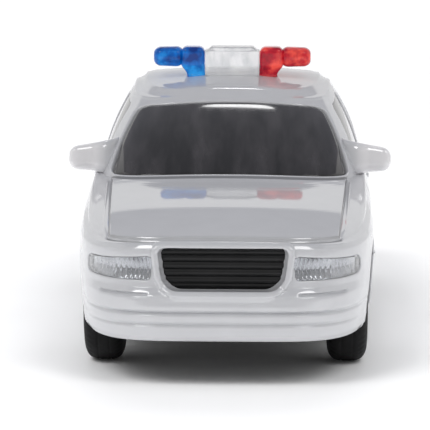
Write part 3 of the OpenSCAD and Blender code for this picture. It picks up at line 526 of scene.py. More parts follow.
def skin(psi, level, inset=0.0):
    """A point of the body: round the superellipse of its level by the plan angle in degrees, between the front
    and rear ends of that level, at a height eased from the end's to the side's, and sunk by the inset."""
    psi, level, inset = np.broadcast_arrays(np.asarray(psi, float), np.asarray(level, float), np.asarray(inset, float))
    r = np.moveaxis(rings(level), -1, 0)
    c, s = np.cos(np.radians(psi)), np.sin(np.radians(psi))
    p = np.where(s < 0, r[6], r[7])
    k = (np.abs(c) ** p + np.abs(s) ** p) ** (-1 / p)
    across, along = c * k, s * k
    height = mix(np.where(along < 0, r[3], r[5]), r[4], step(1 - np.abs(along), 0, 1)) + r[8] * (1 - across ** 2)
    front, rear = r[1] + inset * r[10], r[2] - inset * r[10]
    return np.stack([(r[0] - inset * r[9]) * across, mix(front, rear, (1 + along) / 2),
                     height - inset * mix(r[11], r[12], along ** 2)], axis=-1)


print("nose at lip", skin(-90, LIP_LEVEL).round(2).tolist(), "roof", skin(0, 15.99).round(2).tolist())

# %% [markdown]
# ## Cutting openings
# Windows, lamps, grille and arches are holes in that skin. Blender's Boolean modifier could cut them, but it leaves
# long slivers that shade badly. Each hole here is known by a distance that is positive outside it, and a net of
# triangles is cut where the distance is zero, after nearby corners have been slid onto the cut.

# %% Nets of triangles
SLIDE = 0.35


def net(rows, cols, wrap=False):
    """Two triangles for each cell of a grid of points, numbered row by row."""
    i = np.arange(cols if wrap else cols - 1)
    a = np.arange(rows - 1)[:, None] * cols + i
    b = np.arange(rows - 1)[:, None] * cols + (i + 1) % cols
    a, b = a.ravel(), b.ravel()
    return np.concatenate([np.stack([a, b, b + cols], 1), np.stack([a, b + cols, a + cols], 1)])


def grid(rows, cols):
    """The row and column values of each point of a grid, row by row."""
    return (v.ravel() for v in np.meshgrid(rows, cols, indexing="ij"))


def spots(x, y, z):
    """Points from three coordinates, each a number or a value for every point."""
    return np.stack(np.broadcast_arrays(x, y, z), axis=-1)


def sides_of(faces):
    """The three sides of each triangle, each from one corner to the next."""
    return np.concatenate([faces[:, [0, 1]], faces[:, [1, 2]], faces[:, [2, 0]]])


def clip(faces, value, layers):
    """Keeps the part of a net where value is positive and cuts the triangles across zero.
    Corners close to the cut are slid onto it first, so that no sliver is left."""
    value, layers = value.copy(), [np.array(layer, float) for layer in layers]
    a, b = np.unique(np.sort(sides_of(faces), axis=1), axis=0).T
    across = value[a] * value[b] < 0
    ends, others = np.concatenate([a[across], b[across]]), np.concatenate([b[across], a[across]])
    share = value[ends] / (value[ends] - value[others])
    order = np.argsort(share)
    order = order[share[order] < SLIDE]
    near, first = np.unique(ends[order], return_index=True)
    pick = order[first]
    for layer in layers:
        layer[near] = layer[near] + (layer[others[pick]] - layer[near]) * share[pick][:, None]
    value[near] = 0.0
    sign = np.sign(value).astype(int)
    held = sign[faces]
    whole = faces[(held >= 0).all(1) & (held > 0).any(1)]
    split = faces[(held > 0).any(1) & (held < 0).any(1)]
    following = np.roll(split, -1, axis=1)
    crossing = sign[split] * sign[following] < 0
    pairs = np.sort(np.stack([split, following], axis=2), axis=2)[crossing]
    unique, back = np.unique(pairs, axis=0, return_inverse=True)
    one, two = unique.T
    share = (value[one] / (value[one] - value[two]))[:, None]
    layers = [np.concatenate([v, v[one] + (v[two] - v[one]) * share]) for v in layers]
    corners = np.full((len(split), 6), -1)
    corners[:, ::2] = np.where(sign[split] >= 0, split, -1)
    corners[:, 1::2][crossing] = len(value) + np.ravel(back)
    corners = np.take_along_axis(corners, np.argsort(corners < 0, axis=1, kind="stable"), axis=1)
    fans = [corners[:, [0, 1, 2]], corners[corners[:, 3] >= 0][:, [0, 2, 3]]]
    used, faces = np.unique(np.concatenate([whole] + fans), return_inverse=True)
    return faces.reshape(-1, 3), [layer[used] for layer in layers]


print("a grid of 2 by 3 points has", len(net(2, 3)), "triangles")

# %% [markdown]
# ## Closing walls
# A real casting has a thickness, and paint rounds its every edge. Solidify and Bevel modifiers could add both, but
# they would also round the seams between neighbouring pieces. Here an inner skin is joined to the outer one by a strip
# that turns down in a quarter circle, and only where an edge really ends.

# %% Walls with rounded edges
def unit(v):
    """Vectors of length one."""
    return v / np.maximum(np.linalg.norm(v, axis=-1, keepdims=True), 1e-12)


def gathered(corners, values, count):
    """The sum, for each point, of the vectors of the edges or faces that touch it."""
    each = corners.shape[1]
    return np.stack([np.bincount(corners.ravel(), np.repeat(values[:, k], each), count) for k in range(3)], axis=1)


def normals(points, faces):
    """Normals at the corners of a net, from the faces round each."""
    face = np.cross(points[faces[:, 1]] - points[faces[:, 0]], points[faces[:, 2]] - points[faces[:, 0]])
    return unit(gathered(faces, face, len(points)))


def wall(outer, inner, faces, lip, steps=3):
    """Closes an outer and an inner skin to a wall. Where lip is above zero the border is rounded: the edge
    turns from the outer skin's own direction down into the wall by a quarter circle of that radius."""
    sides, count = sides_of(faces), len(outer)
    edge = sides[~np.isin(sides[:, 0] * count + sides[:, 1], sides[:, 1] * count + sides[:, 0])]
    up = normals(outer, faces)
    away = unit(np.cross(outer[edge[:, 1]] - outer[edge[:, 0]], up[edge[:, 0]] + up[edge[:, 1]]))
    out = unit(gathered(edge, away, count)) * lip[:, None]
    inner = inner + out * (np.bincount(edge.ravel(), minlength=count) > 0)[:, None]
    rim = np.unique(edge)
    place = np.zeros(count, int)
    place[rim] = np.arange(len(rim))
    turns = np.linspace(0, np.pi / 2, steps + 1)[1:, None, None]
    curled = outer[rim] + np.sin(turns) * out[rim] - (1 - np.cos(turns)) * up[rim] * lip[rim][:, None]
    points = np.concatenate([outer, inner, curled.reshape(-1, 3)])
    chain = [edge] + [2 * count + k * len(rim) + place[edge] for k in range(steps)] + [edge + count]
    strips = []
    for low, high in zip(chain[:-1], chain[1:]):
        strips += [np.stack([low[:, 1], low[:, 0], high[:, 0]], 1), np.stack([low[:, 1], high[:, 0], high[:, 1]], 1)]
    faces = np.concatenate([faces, faces[:, ::-1] + count] + strips)
    corner = points[faces]
    area = np.linalg.norm(np.cross(corner[:, 1] - corner[:, 0], corner[:, 2] - corner[:, 0]), axis=1)
    return points, faces[area > 1e-9]


print("made", wall.__name__)

# %% [markdown]
# ## Pieces
# A finished mesh becomes an object that rides on one moving body and stands in for the plain pieces of the frame.
# Shading could be smooth or flat throughout. Here only edges sharper than a given angle stay sharp, as on the toy.

# %% Making a piece
CAR = "car_body"


def make_piece(name, points, faces, slot, nodes, body=CAR, crease=40.0, layers=()):
    """Makes the finished object from points in millimetres, and ties it to the frame."""
    mesh = bpy.data.meshes.new(name)
    mesh.from_pydata((np.asarray(points) * MM).tolist(), [], np.asarray(faces).tolist(), shade_flat=False)
    mesh.update()
    for label, values in dict(layers).items():
        layer = mesh.attributes.new(label, "FLOAT", "POINT")
        layer.data.foreach_set("value", np.asarray(values, np.float32))
    mesh.set_sharp_from_angle(angle=np.radians(crease))
    mesh.materials.append(FINISH[slot])
    piece = bpy.data.objects.new(name, mesh)
    bpy.context.scene.collection.objects.link(piece)
    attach(piece, body)
    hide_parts(*nodes)
    print(name, len(points), "points", len(faces), "triangles")
    return piece


print("made", make_piece.__name__)

# %% [markdown]
# ## Holes
# Arches are circles round the axles, and the other holes are boxes with round corners, measured where their makers
# would measure them: the grille and the end windows from the front, the side windows from the side, the lamps on
# their own patch of the skin. A drawn outline would do as well, but a distance also tells how far outside a
# spot lies, which the rounded frames and flares need.

# %% Arches and grille
AXLES = np.array([[-25.62, 5.3], [19.908, 5.3]])
ARCH_RADIUS = 6.1
LIP_RADIUS = 0.14
FAR = 9.0
GRILLE_LOW, GRILLE_HIGH = 8.9, 12.6
GRILLE_HALVES = 5.348, 5.852
GRILLE_CORNERS, CORNER_HEIGHTS = (1.3, 0.7), (9.8, 11.4)
NOSE_ENDS = -36


def rounded_box(dx, dz, corner):
    """Distance from a box with round corners, from the distances dx and dz beyond its sides and ends."""
    x, z = dx + corner, dz + corner
    return np.minimum(np.maximum(x, z), 0) + np.hypot(np.maximum(x, 0), np.maximum(z, 0)) - corner


def mirrored(psi):
    """The plan angle on the car's left that mirrors a plan angle: between -90 and 90 degrees."""
    turned = np.mod(psi + 90, 360) - 90
    return np.where(turned > 90, 180 - turned, turned)


def arch_gap(points):
    """Distance from the nearer arch: the distance from its axle less its radius."""
    return np.min([np.hypot(points[..., 1] - y, points[..., 2] - z) for y, z in AXLES], axis=0) - ARCH_RADIUS


def grille_gap(points):
    """Distance from the grille in front view: a box that widens upwards, with rounder corners below."""
    x, z = np.abs(points[..., 0]), points[..., 2]
    low, high = GRILLE_LOW, GRILLE_HIGH
    half = mix(*GRILLE_HALVES, (z - low) / (high - low))
    corner = mix(*GRILLE_CORNERS, step(z, *CORNER_HEIGHTS))
    box = rounded_box(x - half, np.abs(z - (low + high) / 2) - (high - low) / 2, corner)
    return np.where(points[..., 1] < NOSE_ENDS, box, FAR)


nose = skin(-90, np.linspace(0, LIP_LEVEL, 300))
print("grille", np.ptp(nose[grille_gap(nose) < 0][:, 2]).round(1), "mm tall")

# %% [markdown]
# The windows stand between the sill and the rail, and each lamp lies on a patch of the corner. Their sizes are kept
# in plan angles and levels, so that they stay in place when the body changes.

# %% Windows and lamps
# Each window: plan angles, lower and upper share of the level, corner radius, and the axis that it is measured along.
WINDOWS = {"windscreen": (-136.8, -43.2, 0.02, 0.93, 0.6, "x"), "rear_window": (52, 128, 0.08, 0.9, 0.8, "x"),
           "front_door": (-35, -7.5, 0.08, 0.88, 0.6, "y"), "rear_door": (-3, 20, 0.08, 0.88, 0.6, "y"),
           "quarter": (22.5, 33, 0.08, 0.86, 0.6, "y")}
END_WINDOWS, SIDE_WINDOWS = ["windscreen", "rear_window"], ["front_door", "rear_door", "quarter"]
WINDOW_TALL = {"x": 11.5, "y": 7.4}
SCREEN_LOW, SCREEN_HIGH, SCREEN_SINK, SCREEN_HALF = 0.05, 0.965, 0.04, 9
SCREEN_CORNERS, SCREEN_CHANGE = (0.45, 1.25), (0.3, 0.7)
# Each lamp: first plan angle and span, levels of its lower and upper edge at both ends, width, height of one level,
# and corner radius.
LAMPS = {"head": (-65.3, 21.3, (10.17, 10.2), (10.82, 10.7), 7.1, 3.35, 0.55),
         "tail": (45, 21, (10.1, 10.1), (10.86, 10.86), 7.6, 2.6, 0.5)}


def window_gap(psi, level, name):
    """Distance from one window, measured in front view for the end windows and in side view for the others.
    The windscreen's upper edge sinks with the square of the distance from the middle."""
    a, b, low, high, corner, axis = WINDOWS[name]
    turned = np.mod(psi - (a + b) / 2 + 180, 360) - 180 + (a + b) / 2
    t = level - SILL_LEVEL
    k = "xyz".index(axis)
    here, one, two = (skin(v, level)[..., k] for v in (turned, a, b))
    across = np.abs(here - (one + two) / 2) - np.abs(one - two) / 2
    if name == "windscreen":
        low, high = SCREEN_LOW, SCREEN_HIGH - SCREEN_SINK * (here / SCREEN_HALF) ** 2
        corner = mix(*SCREEN_CORNERS, step(t, *SCREEN_CHANGE))
    box = rounded_box(across, (np.abs(t - (low + high) / 2) - (high - low) / 2) * WINDOW_TALL[axis], corner)
    inside = np.abs(turned - (a + b) / 2) < (b - a) / 2 + 12
    return np.where(inside, box, FAR)


def all_windows(psi, level):
    """Distance from the nearest window on either side."""
    side = mirrored(psi)
    return np.min([window_gap(psi, level, name) for name in END_WINDOWS]
                  + [window_gap(side, level, name) for name in SIDE_WINDOWS], axis=0)


def lamp_gap(psi, level, lamp):
    """Distance from a lamp's rounded outline, in millimetres across and up its own patch of the skin."""
    start, span, lows, highs, wide, tall, corner = LAMPS[lamp]
    u = (mirrored(psi) - start) / span
    low, high = mix(*lows, u), mix(*highs, u)
    v = (level - low) / (high - low)
    tall = tall * (high - low)
    box = rounded_box((np.abs(u - 0.5) - 0.5) * wide, (np.abs(v - 0.5) - 0.5) * tall, corner)
    return np.where(np.abs(u - 0.5) < 0.9, box, FAR)


print("windows", END_WINDOWS + SIDE_WINDOWS)

# %% [markdown]
# ## Shut lines
# On the toy the doors, hood and boot are only engraved. A bump in the paint could show that, but a real groove also
# catches the light from the side, so the lines are sunk into the mesh. Columns of the net lean with the
# hood's side lines, so that a groove runs along the net and not across it.

# %% Distances from the shut lines
# Plan angles of the upright lines, and levels of the lines round the hood's lip and the sill.
HOOD_FOOT, HOOD_HEAD = -49.7, -44.9
DOOR_LINES, BOOT_LINE = (-18, 3.4, 21), 46.3
LIP_LINE, SILL_LINE = 13.03, 1.59
# Where each line runs, in levels or plan angles, and how far the door lines lie behind their angles.
DOOR_LEVELS, HOOD_LEVELS, BOOT_LEVELS, SILL_ANGLES = (1.6, 12.95), (13.02, 13.99), (11.3, 13.99), (-18, 21.3)
DOOR_SHIFT = 0.15


def hood_warp(angle, level):
    """Plan angles whose columns lean with the hood's side lines above the hood lip, less and less away from them by
    the square of a cosine."""
    share = np.cos(np.clip((mirrored(angle) - HOOD_FOOT) / 18, -1, 1) * np.pi / 2) ** 2
    shift = (HOOD_HEAD - HOOD_FOOT) * np.clip((level - LIP_LINE) / 0.97, 0, 1) * share
    return angle + np.where(np.mod(angle + 90, 360) < 180, shift, -shift)


def paces(psi, level):
    """Millimetres of skin in a degree of plan angle and in one level, from a small step in each."""
    here = skin(psi, level)
    return (np.linalg.norm(skin(psi + 0.05, level) - here, axis=-1) / 0.05,
            np.linalg.norm(skin(psi, level + 0.005) - here, axis=-1) / 0.005)


def within(value, low, high):
    """Where a value lies between two limits."""
    return (value > low) & (value < high)


def shut_line(columns, psi, level):
    """Distance in millimetres from the nearest shut line of the doors, hood and boot: where each line runs, the
    plan angle or level from it times its pace."""
    per_degree, per_level = paces(psi, level)
    side = mirrored(psi)
    drawn = [(within(level, *DOOR_LEVELS), (side - a - DOOR_SHIFT) * per_degree) for a in DOOR_LINES] + [
        (within(level, *HOOD_LEVELS), (mirrored(columns) - HOOD_FOOT) * per_degree),
        (within(level, *BOOT_LEVELS), (side - BOOT_LINE) * per_degree),
        (np.abs(side + 90) < 90 + HOOD_FOOT + 0.6, (level - LIP_LINE) * per_level),
        (within(side, *SILL_ANGLES), (level - SILL_LINE) * per_level)]
    return np.min([np.where(runs_here, np.minimum(np.abs(off), FAR), FAR) for runs_here, off in drawn], axis=0)


print("millimetres to a degree and to a level at the door", [float(v.round(3)) for v in paces(0.0, 8.0)])

# %% [markdown]
# ## Relief of the body
# The grooves are 0.2 mm deep. The bumper has a slot under each headlight, the side a raised strip, the roof two
# gutters, and a rounded frame stands out round the grille. Separate pieces could be laid on for these, but on
# the toy they are cast in, so they are heights of the same skin. The hood is also lit as if it rose more steeply
# than the plain skin does, so that it mirrors the light bar as the toy does.

# %% Raised and sunk forms
# LINE_SHADE is how far from a shut line the painted shade of that line reaches.
LINE_DEPTH, LINE_HALF, LINE_SHADE = 0.2, 0.12, 0.25
SLOT_DEPTH, STRIP_RISE, FRAME_RISE = 0.22, 0.12, 0.3
FLARE_RISE, GUTTER_RISE, FOLD_RISE = 0.07, 0.14, 0.1
# Where the forms lie in levels or plan angles: from, to, and the ease at both ends.
SLOT_LEVELS, SLOT_ANGLES = (8.06, 8.64, 0.14), (-64.4, -48.6, 1.4)
STRIP_LEVELS, STRIP_ANGLES = (9.12, 9.88, 0.18), (-36.6, 32.6, 1.2)
FOLD_LEVELS, GUTTER_LEVELS = (13.02, 13.98, 0.08), (15.02, 15.12)
GUTTER_ENDS, FRAME_TOP, FOLD_ANGLE = (50, 64), (12.6, 13.0), 1.7
# Half widths across the forms, the middle of the frame outside the opening, and where the car's sides begin.
FRAME_HALF, FLARE_HALF, GUTTER_HALF, FOLD_HALF = 0.36, 0.7, 0.2, 0.22
FRAME_MIDDLE, SIDES_FROM = 0.29, 11


def bell(x, width):
    """One at zero, falling on both sides by the exponential of minus the square."""
    return np.exp(-(x / width) ** 2)


def plateau(x, low, high, ease):
    """One between low and high, eased to zero at both ends over a given width."""
    return step(x, low, low + ease) * (1 - step(x, high - ease, high))


def relief(columns, psi, level):
    """How far each spot lies under the plain skin, and its distance from a shut line. Lines and slots are sunk. The
    strip, the frame, the flares of the arches, the gutters and the folds beside the hood are raised."""
    points, side = skin(psi, level), mirrored(psi)
    per_degree, per_level = paces(psi, level)
    line = shut_line(columns, psi, level)
    sunk = LINE_DEPTH * bell(line, LINE_HALF) + SLOT_DEPTH * plateau(level, *SLOT_LEVELS) * plateau(side, *SLOT_ANGLES)
    strip = plateau(level, *STRIP_LEVELS) * plateau(side, *STRIP_ANGLES)
    out = (grille_gap(points) - FRAME_MIDDLE) / FRAME_HALF
    ridge = np.sqrt(np.clip(1 - out ** 2, 0, 1)) * (1 - step(level, *FRAME_TOP))
    flare = bell(np.maximum(arch_gap(points), 0), FLARE_HALF) * (np.abs(points[..., 0]) > SIDES_FROM)
    gutters = np.sum([bell((level - at) * per_level, GUTTER_HALF) for at in GUTTER_LEVELS], axis=0)
    gutters = gutters * (1 - step(np.abs(side), *GUTTER_ENDS))
    fold = bell((mirrored(columns) - HOOD_FOOT - FOLD_ANGLE) * per_degree, FOLD_HALF) * plateau(level, *FOLD_LEVELS)
    return (sunk - STRIP_RISE * strip - FRAME_RISE * ridge - FLARE_RISE * flare - GUTTER_RISE * gutters
            - FOLD_RISE * fold), line


def hood_swell(columns, level, points):
    """How the hood is lit: as if it rose further towards the windscreen, by 4 to 8 degrees along its length
    and by 8 degrees at the foot of the windscreen, where the cast hood turns up."""
    fine = np.linspace(NOSE, -14, 561)
    slope = np.tan(np.radians(4.2 + 3.4 * step(-fine, 27, 32) + 4.3 * bell(fine + 16.6, 1.6)))
    rise = np.concatenate([[0], np.cumsum((slope[1:] + slope[:-1]) / 2 * (fine[1] - fine[0]))])
    hood = (np.abs(mirrored(columns) + 90) < 90 + HOOD_FOOT) & (level > LIP_LINE) & (level < 14.001)
    return np.where(hood, np.interp(points[..., 1], fine, rise), 0.0)


print("deepest form", max(LINE_DEPTH, SLOT_DEPTH), "mm, highest", FRAME_RISE, "mm")

# %% [markdown]
# ## Body
# The body is drawn as three pieces of one skin, which meet in the front door's shut line and under the windows:
# the front, the rear and the cabin with the roof. One piece would do, but then the whole car would need the fine
# net that only the front asks for. Each piece is a grid of plan angles and levels.

# %% One piece of the casting
WALL = 0.85


def body_piece(name, columns, levels, closed=False):
    """The skin with its relief outside and the wall's depth inside, cut at every hole and rounded at every edge but
    its seams. A closed piece runs right round, and its last row meets in the middle of the roof."""
    level, column = grid(levels, columns)
    psi = hood_warp(column, level)
    sunk, line = relief(column, psi, level)
    outer, inner = skin(psi, level, sunk), skin(psi, level, WALL)
    swell = hood_swell(column, level, outer)
    lip = np.full((len(levels), len(columns)), LIP_RADIUS)
    if closed:
        lip[0] = 0.0
    else:
        lip[-1] = 0.0
        lip[:, [0, -1]] = 0.0
    faces = net(len(levels), len(columns), closed)
    keep = np.min([arch_gap(outer), grille_gap(outer), lamp_gap(psi, level, "head"), lamp_gap(psi, level, "tail"),
                   all_windows(psi, level)], axis=0) - LIP_RADIUS
    if closed:
        ring = np.arange(len(columns)) + (len(levels) - 1) * len(columns)
        faces = np.concatenate([faces, np.stack([ring, np.roll(ring, -1), np.full(len(ring), len(outer))], 1)])
        top = skin(0.0, 15.9999)
        outer = np.concatenate([outer, [[0.0, top[1], top[2]]]])
        inner = np.concatenate([inner, [[0.0, top[1], top[2] - WALL]]])
        keep, line, lip, swell = (np.append(v, end) for v, end in ((keep, FAR), (line, FAR), (lip, 0.0), (swell, 0.0)))
    faces, (outer, inner, line, lip, swell) = clip(
        faces, keep, [outer, inner, line[:, None], lip.reshape(-1, 1), swell[:, None]])
    points, faces = wall(outer, inner, faces, lip[:, 0])
    rest = np.zeros(len(points) - len(line))
    # Painted shade: 1 in a shut line, falling to 0 at LINE_SHADE mm from it. The enamel paints the line dark by it.
    shade = np.clip(1 - line[:, 0] / LINE_SHADE, 0, 1)
    layers = {"line": np.append(shade, rest), "swell": np.append(swell[:, 0], rest)}
    make_piece(name, points, faces, "body_enamel", ["body_shell"], crease=60.0, layers=layers)


print("wall of the casting", WALL, "mm")

# %% [markdown]
# Even rows and columns would waste points on the doors and starve the grooves. So the columns keep an even pace along
# the skin and crowd at the lines, the lamps and the hood, and the levels come in runs of their own fineness.

# %% Front, rear and cabin
DOOR_SEAM = 17.85


def crowded(start, stop, count, weight):
    """Places from start to stop, closer together where weight is larger: equal steps of the weight's running sum."""
    fine = np.linspace(start, stop, 4001)
    w = weight(fine)
    total = np.concatenate([[0], np.cumsum((w[1:] + w[:-1]) / 2)])
    return np.interp(np.linspace(0, total[-1], count), total, fine)


def close_to(psi, width, *places):
    """How close a plan angle or its mirror image lies to any of the places: a bell curve round each."""
    return np.sum([bell(mirrored(psi) - p, width) for p in places], axis=0)


def runs(*parts):
    """Even runs of levels, each given by its start, end and count, joined without doubling their ends."""
    return np.concatenate([np.linspace(*part)[:-1] for part in parts])


front_columns = crowded(-180 + DOOR_SEAM, -DOOR_SEAM, 281, lambda a: (
    paces(a, 8.0)[0] * (1 + 0.5 * (np.abs(a + 90) < 46)) + 1.3 * close_to(a, 1.6, -64.9)
    + 1.0 * close_to(a, 0.5, HOOD_FOOT) + 1.6 * close_to(a, 0.3, -DOOR_SEAM)))
rear_columns = crowded(-DOOR_SEAM, 180 + DOOR_SEAM, 300, lambda a: (
    paces(a, 8.0)[0] + 1.6 * close_to(a, 0.4, -DOOR_SEAM, 3.55, 21.15) + 0.8 * close_to(a, 0.5, BOOT_LINE)))
cabin_columns = crowded(-90, 270, 361, lambda a: paces(a, 14.5)[0])[:-1]
front_levels = np.concatenate([runs((0, 8, 45), (8, 10, 17), (10, 11, 27), (11, 12.9, 17), (12.9, 13.12, 9)),
                               13.12 + 0.88 * np.linspace(0, 1, 31) ** 1.3])
rear_levels = np.concatenate([runs((0, 1.4, 9), (1.4, 1.8, 8), (1.8, 10, 44), (10, 11, 17), (11, 13, 17)),
                              LIP_LEVEL + np.linspace(0, 1, 16) ** 1.4])
cabin_levels = np.concatenate([SILL_LEVEL + np.linspace(0, 1, 37),
                               RAIL_LEVEL + 0.97 * np.linspace(0, 1, 33)[1:] ** 1.5])
body_piece("body_front", front_columns, front_levels)
body_piece("body_rear", rear_columns, rear_levels)
body_piece("body_cabin", cabin_columns, cabin_levels, closed=True)

# %% [markdown]
# ## Glazing
# One smoked moulding stands behind the casting with a raised pane in each window. Flat plates would be simpler, but
# the real panes are curved with the body, so they follow the same skin, 0.12 mm deeper, with a rounded edge
# and a narrow gap to the metal.

# %% Panes
PANE_DEPTH, PANE_BACK, PANE_GAP = 0.12, 0.8, 0.05


def reflected(points, faces):
    """A shape's mirror image on the car's right, with its faces turned so that they still point outwards."""
    return points * [-1, 1, 1], faces[:, ::-1]


def both(name, points, faces, slot, nodes, **more):
    """The piece on the car's left and its mirror image on the right."""
    make_piece(name + "_left", points, faces, slot, nodes, **more)
    make_piece(name + "_right", *reflected(points, faces), slot, nodes, **more)


def pane(window):
    """The skin at the pane's depth inside the window's outline, closed to a wall."""
    a, b, low, high = WINDOWS[window][:4]
    columns = np.linspace(a - 2, b + 2, 121 if b - a > 50 else 61)
    levels = SILL_LEVEL + np.linspace(low - 0.03, high + 0.05, 65)
    level, psi = grid(levels, columns)
    keep = -window_gap(psi, level, window) - PANE_GAP - LIP_RADIUS
    faces, (outer, inner) = clip(net(len(levels), len(columns)), keep,
                                 [skin(psi, level, PANE_DEPTH), skin(psi, level, PANE_BACK)])
    return wall(outer, inner, faces, np.full(len(outer), LIP_RADIUS))


for window in END_WINDOWS:
    make_piece(window, *pane(window), "smoked_glazing", ["window_insert"], crease=60.0)
for window in SIDE_WINDOWS:
    both(window + "_glass", *pane(window), "smoked_glazing", ["window_insert"], crease=60.0)

# %% [markdown]
# ## Finishes of the lenses
# Headlights are clear and the bar's middle is clear but clouded by its mould. The coloured lenses are tinted through:
# light scatters inside and comes out brighter in some places than in others. True scattering is slow and noisy at
# this size, so a tinted lens is part glass and part solid colour with a faint painted glow of that colour, which
# stands in for the scattered light.

# %% Clear, silvered and tinted
ACRYLIC = 1.49


def tinted(name, *tones):
    """Tones that follow one another through a soft cloud, part glass, with a faint painted glow of their own that
    stands in for light scattered inside the lens.
    """
    stops = list(zip(np.linspace(0.33, 0.67, len(tones)), tones))
    # glow=0.2 is painted light: the lens shines faintly by itself, though the toy's lenses are not lit.
    return grained(name, (0.6, 3.0, 0.55), (1.2, 2.0), stops, (0.05, 0.14), (0.012, 0.4), glow=0.2,
                   Transmission_Weight=0.35, IOR=ACRYLIC, Specular_IOR_Level=0.3)


FINISH["headlight_clear"] = grained(
    "headlight_lens", (0.8, 2.0), None, [(0.3, (0.93, 0.94, 0.95)), (0.7, (0.97, 0.97, 0.98))],
    (0.02, 0.07), (0.002, 0.3), Transmission_Weight=1.0, IOR=ACRYLIC)
# The tail lenses and the bar's red and blue lenses carry tinted()'s painted glow.
FINISH["tail_light_red"] = tinted("tail_light_red", (0.36, 0.004, 0.01), (0.5, 0.01, 0.02))
FINISH["light_bar_red"] = tinted("light_bar_red", (0.10, 0.001, 0.012), (0.50, 0.010, 0.030), (0.98, 0.11, 0.08))
FINISH["light_bar_blue"] = tinted("light_bar_blue", (0.001, 0.03, 0.20), (0.003, 0.15, 0.55), (0.03, 0.42, 0.95))
FINISH["light_bar_clear"] = grained(
    "light_bar_clear", (0.7, 4.0, 0.6, (1.6, 1.0, 0.7)), None, [(0.36, (0.74, 0.75, 0.77)), (0.58, (1.0, 1.0, 1.0))],
    (0.03, 0.18), (0.06, 0.6), Transmission_Weight=0.8, IOR=ACRYLIC)
SILVER = grained("silvered_bowl", (0.5, 2.0), None, [(0.3, (0.50, 0.51, 0.53)), (0.7, (0.58, 0.59, 0.61))],
                 (0.14, 0.22), (0.001, 0.3), Metallic=1.0)
print("lens finishes", [name for name in FINISH if "light" in name])

# %% [markdown]
# ## Lamps
# A headlight is a clear lens, flush with the corner of the car, over a silvered bowl with upright flutes. A tail
# light is one red lens with fine ribs. A picture of flutes would be flat, so the bowl is dished and waved
# for real, and glints as the view turns.

# %% Lenses and reflectors
# Each lamp: plan angles and levels of a patch of skin that holds its outline.
LAMP_PATCH = {"head": ((-66.5, -42.8), (10.08, 10.9)), "tail": ((44, 67), (10.02, 10.94))}
BOWL_RIM, BOWL_DISH, FLUTE_RISE, FLUTES, PILLOWS = 0.44, 0.38, 0.05, 15, 2
RIB_TOP, RIB_DEPTH, RIB_WAVES = 0.04, 0.03, 9.0


def flat(depth):
    """A face at one depth under the skin."""
    return lambda psi, level: np.full_like(psi, depth)


def bowl(psi, level):
    """Depth of the reflector: two dished bowls side by side, and a cosine across for the upright flutes times one
    up the bowl, which breaks the flutes into pillows."""
    u, v = (psi + 65.3) / 20.8, (level - 10.15) / 0.58
    dish = np.maximum(1 - ((u - 0.3) / 0.3) ** 2, 1 - ((u - 0.78) / 0.24) ** 2) * (1 - (2 * v - 1) ** 2 * 0.8)
    flutes = np.cos(2 * np.pi * u * FLUTES) * (0.6 + 0.4 * np.cos(2 * np.pi * v * PILLOWS))
    return BOWL_RIM + BOWL_DISH * np.clip(dish, 0, 1) + FLUTE_RISE * flutes


def ribbed(psi, level):
    """Depth of a tail lens: the square of a cosine of the plan angle."""
    return RIB_TOP + RIB_DEPTH * np.cos(psi * RIB_WAVES) ** 2


def lamp_piece(name, lamp, slot, node, face, rear, gap, lip, flip, finish=None):
    """A front face and a rear one at their depths under the skin, inside the lamp's outline less a gap."""
    rows, cols = 41, 161
    angles, heights = LAMP_PATCH[lamp]
    level, psi = grid(np.linspace(*heights, rows), np.linspace(*angles, cols))
    keep = -lamp_gap(psi, level, lamp) - gap - lip
    faces, (outer, inner) = clip(net(rows, cols), keep, [skin(psi, level, f(psi, level)) for f in (face, rear)])
    shape = wall(outer, inner, faces, np.full(len(outer), lip))
    piece = make_piece(name, *(reflected(*shape) if flip else shape), slot, [node], crease=60.0)
    if finish:
        piece.data.materials[0] = finish


for side, flip in (("left", False), ("right", True)):
    lamp_piece("headlight_lens_" + side, "head", "headlight_clear", "headlight_" + side,
               face=flat(0.04), rear=flat(0.3), gap=0.03, lip=0.1, flip=flip)
    lamp_piece("headlight_bowl_" + side, "head", "headlight_clear", "headlight_" + side,
               face=bowl, rear=flat(1.2), gap=0.02, lip=0.0, flip=flip, finish=SILVER)
    lamp_piece("tail_lens_" + side, "tail", "tail_light_red", "tail_light_" + side,
               face=ribbed, rear=flat(0.8), gap=0.03, lip=0.12, flip=flip)

# %% [markdown]
# ## Grille
# A black moulding of six bars, set back in its opening. Six separate bars would float in the frame. The real one is
# a single plate, so the bars are the humps of a sine wave on one face, which fade out at the border.

# %% Grille bars
X, Y, Z = np.eye(3)
GRILLE_FACE, GRILLE_BACK, GRILLE_BARS, BAR_RISE = -40.35, -39.7, 6, 0.17


def grille():
    """A plate whose face comes forward by the size of a sine up its height, to the power 0.8."""
    xs, zs = np.linspace(-6.1, 6.1, 123), np.linspace(8.6, 12.7, 165)
    z, x = grid(zs, xs)
    ridge = np.abs(np.sin(np.pi * GRILLE_BARS * (z - 8.7) / 3.9)) ** 0.8
    plate = spots(x, GRILLE_FACE, z)
    gap = grille_gap(plate)
    face = plate - Y * (BAR_RISE * ridge * step(-gap, 0.0, 0.45))[:, None]
    faces, (outer, inner) = clip(net(len(zs), len(xs)), 0.05 - gap, [face, spots(x, GRILLE_BACK, z)])
    return wall(outer, inner, faces, np.zeros(len(outer)))


make_piece("grille_bars", *grille(), "grille_black", ["grille_insert"], crease=50.0)

# %% [markdown]
# ## Mirrors and handles
# Mirrors and door handles are cast with the body, and have soft rectangular sections. They could be boxes with
# rounded edges, but a mirror swells at its root, leans and tapers. Here a superellipse is carried along a line of
# centres while its size changes, and both ends close to a point or a flat.

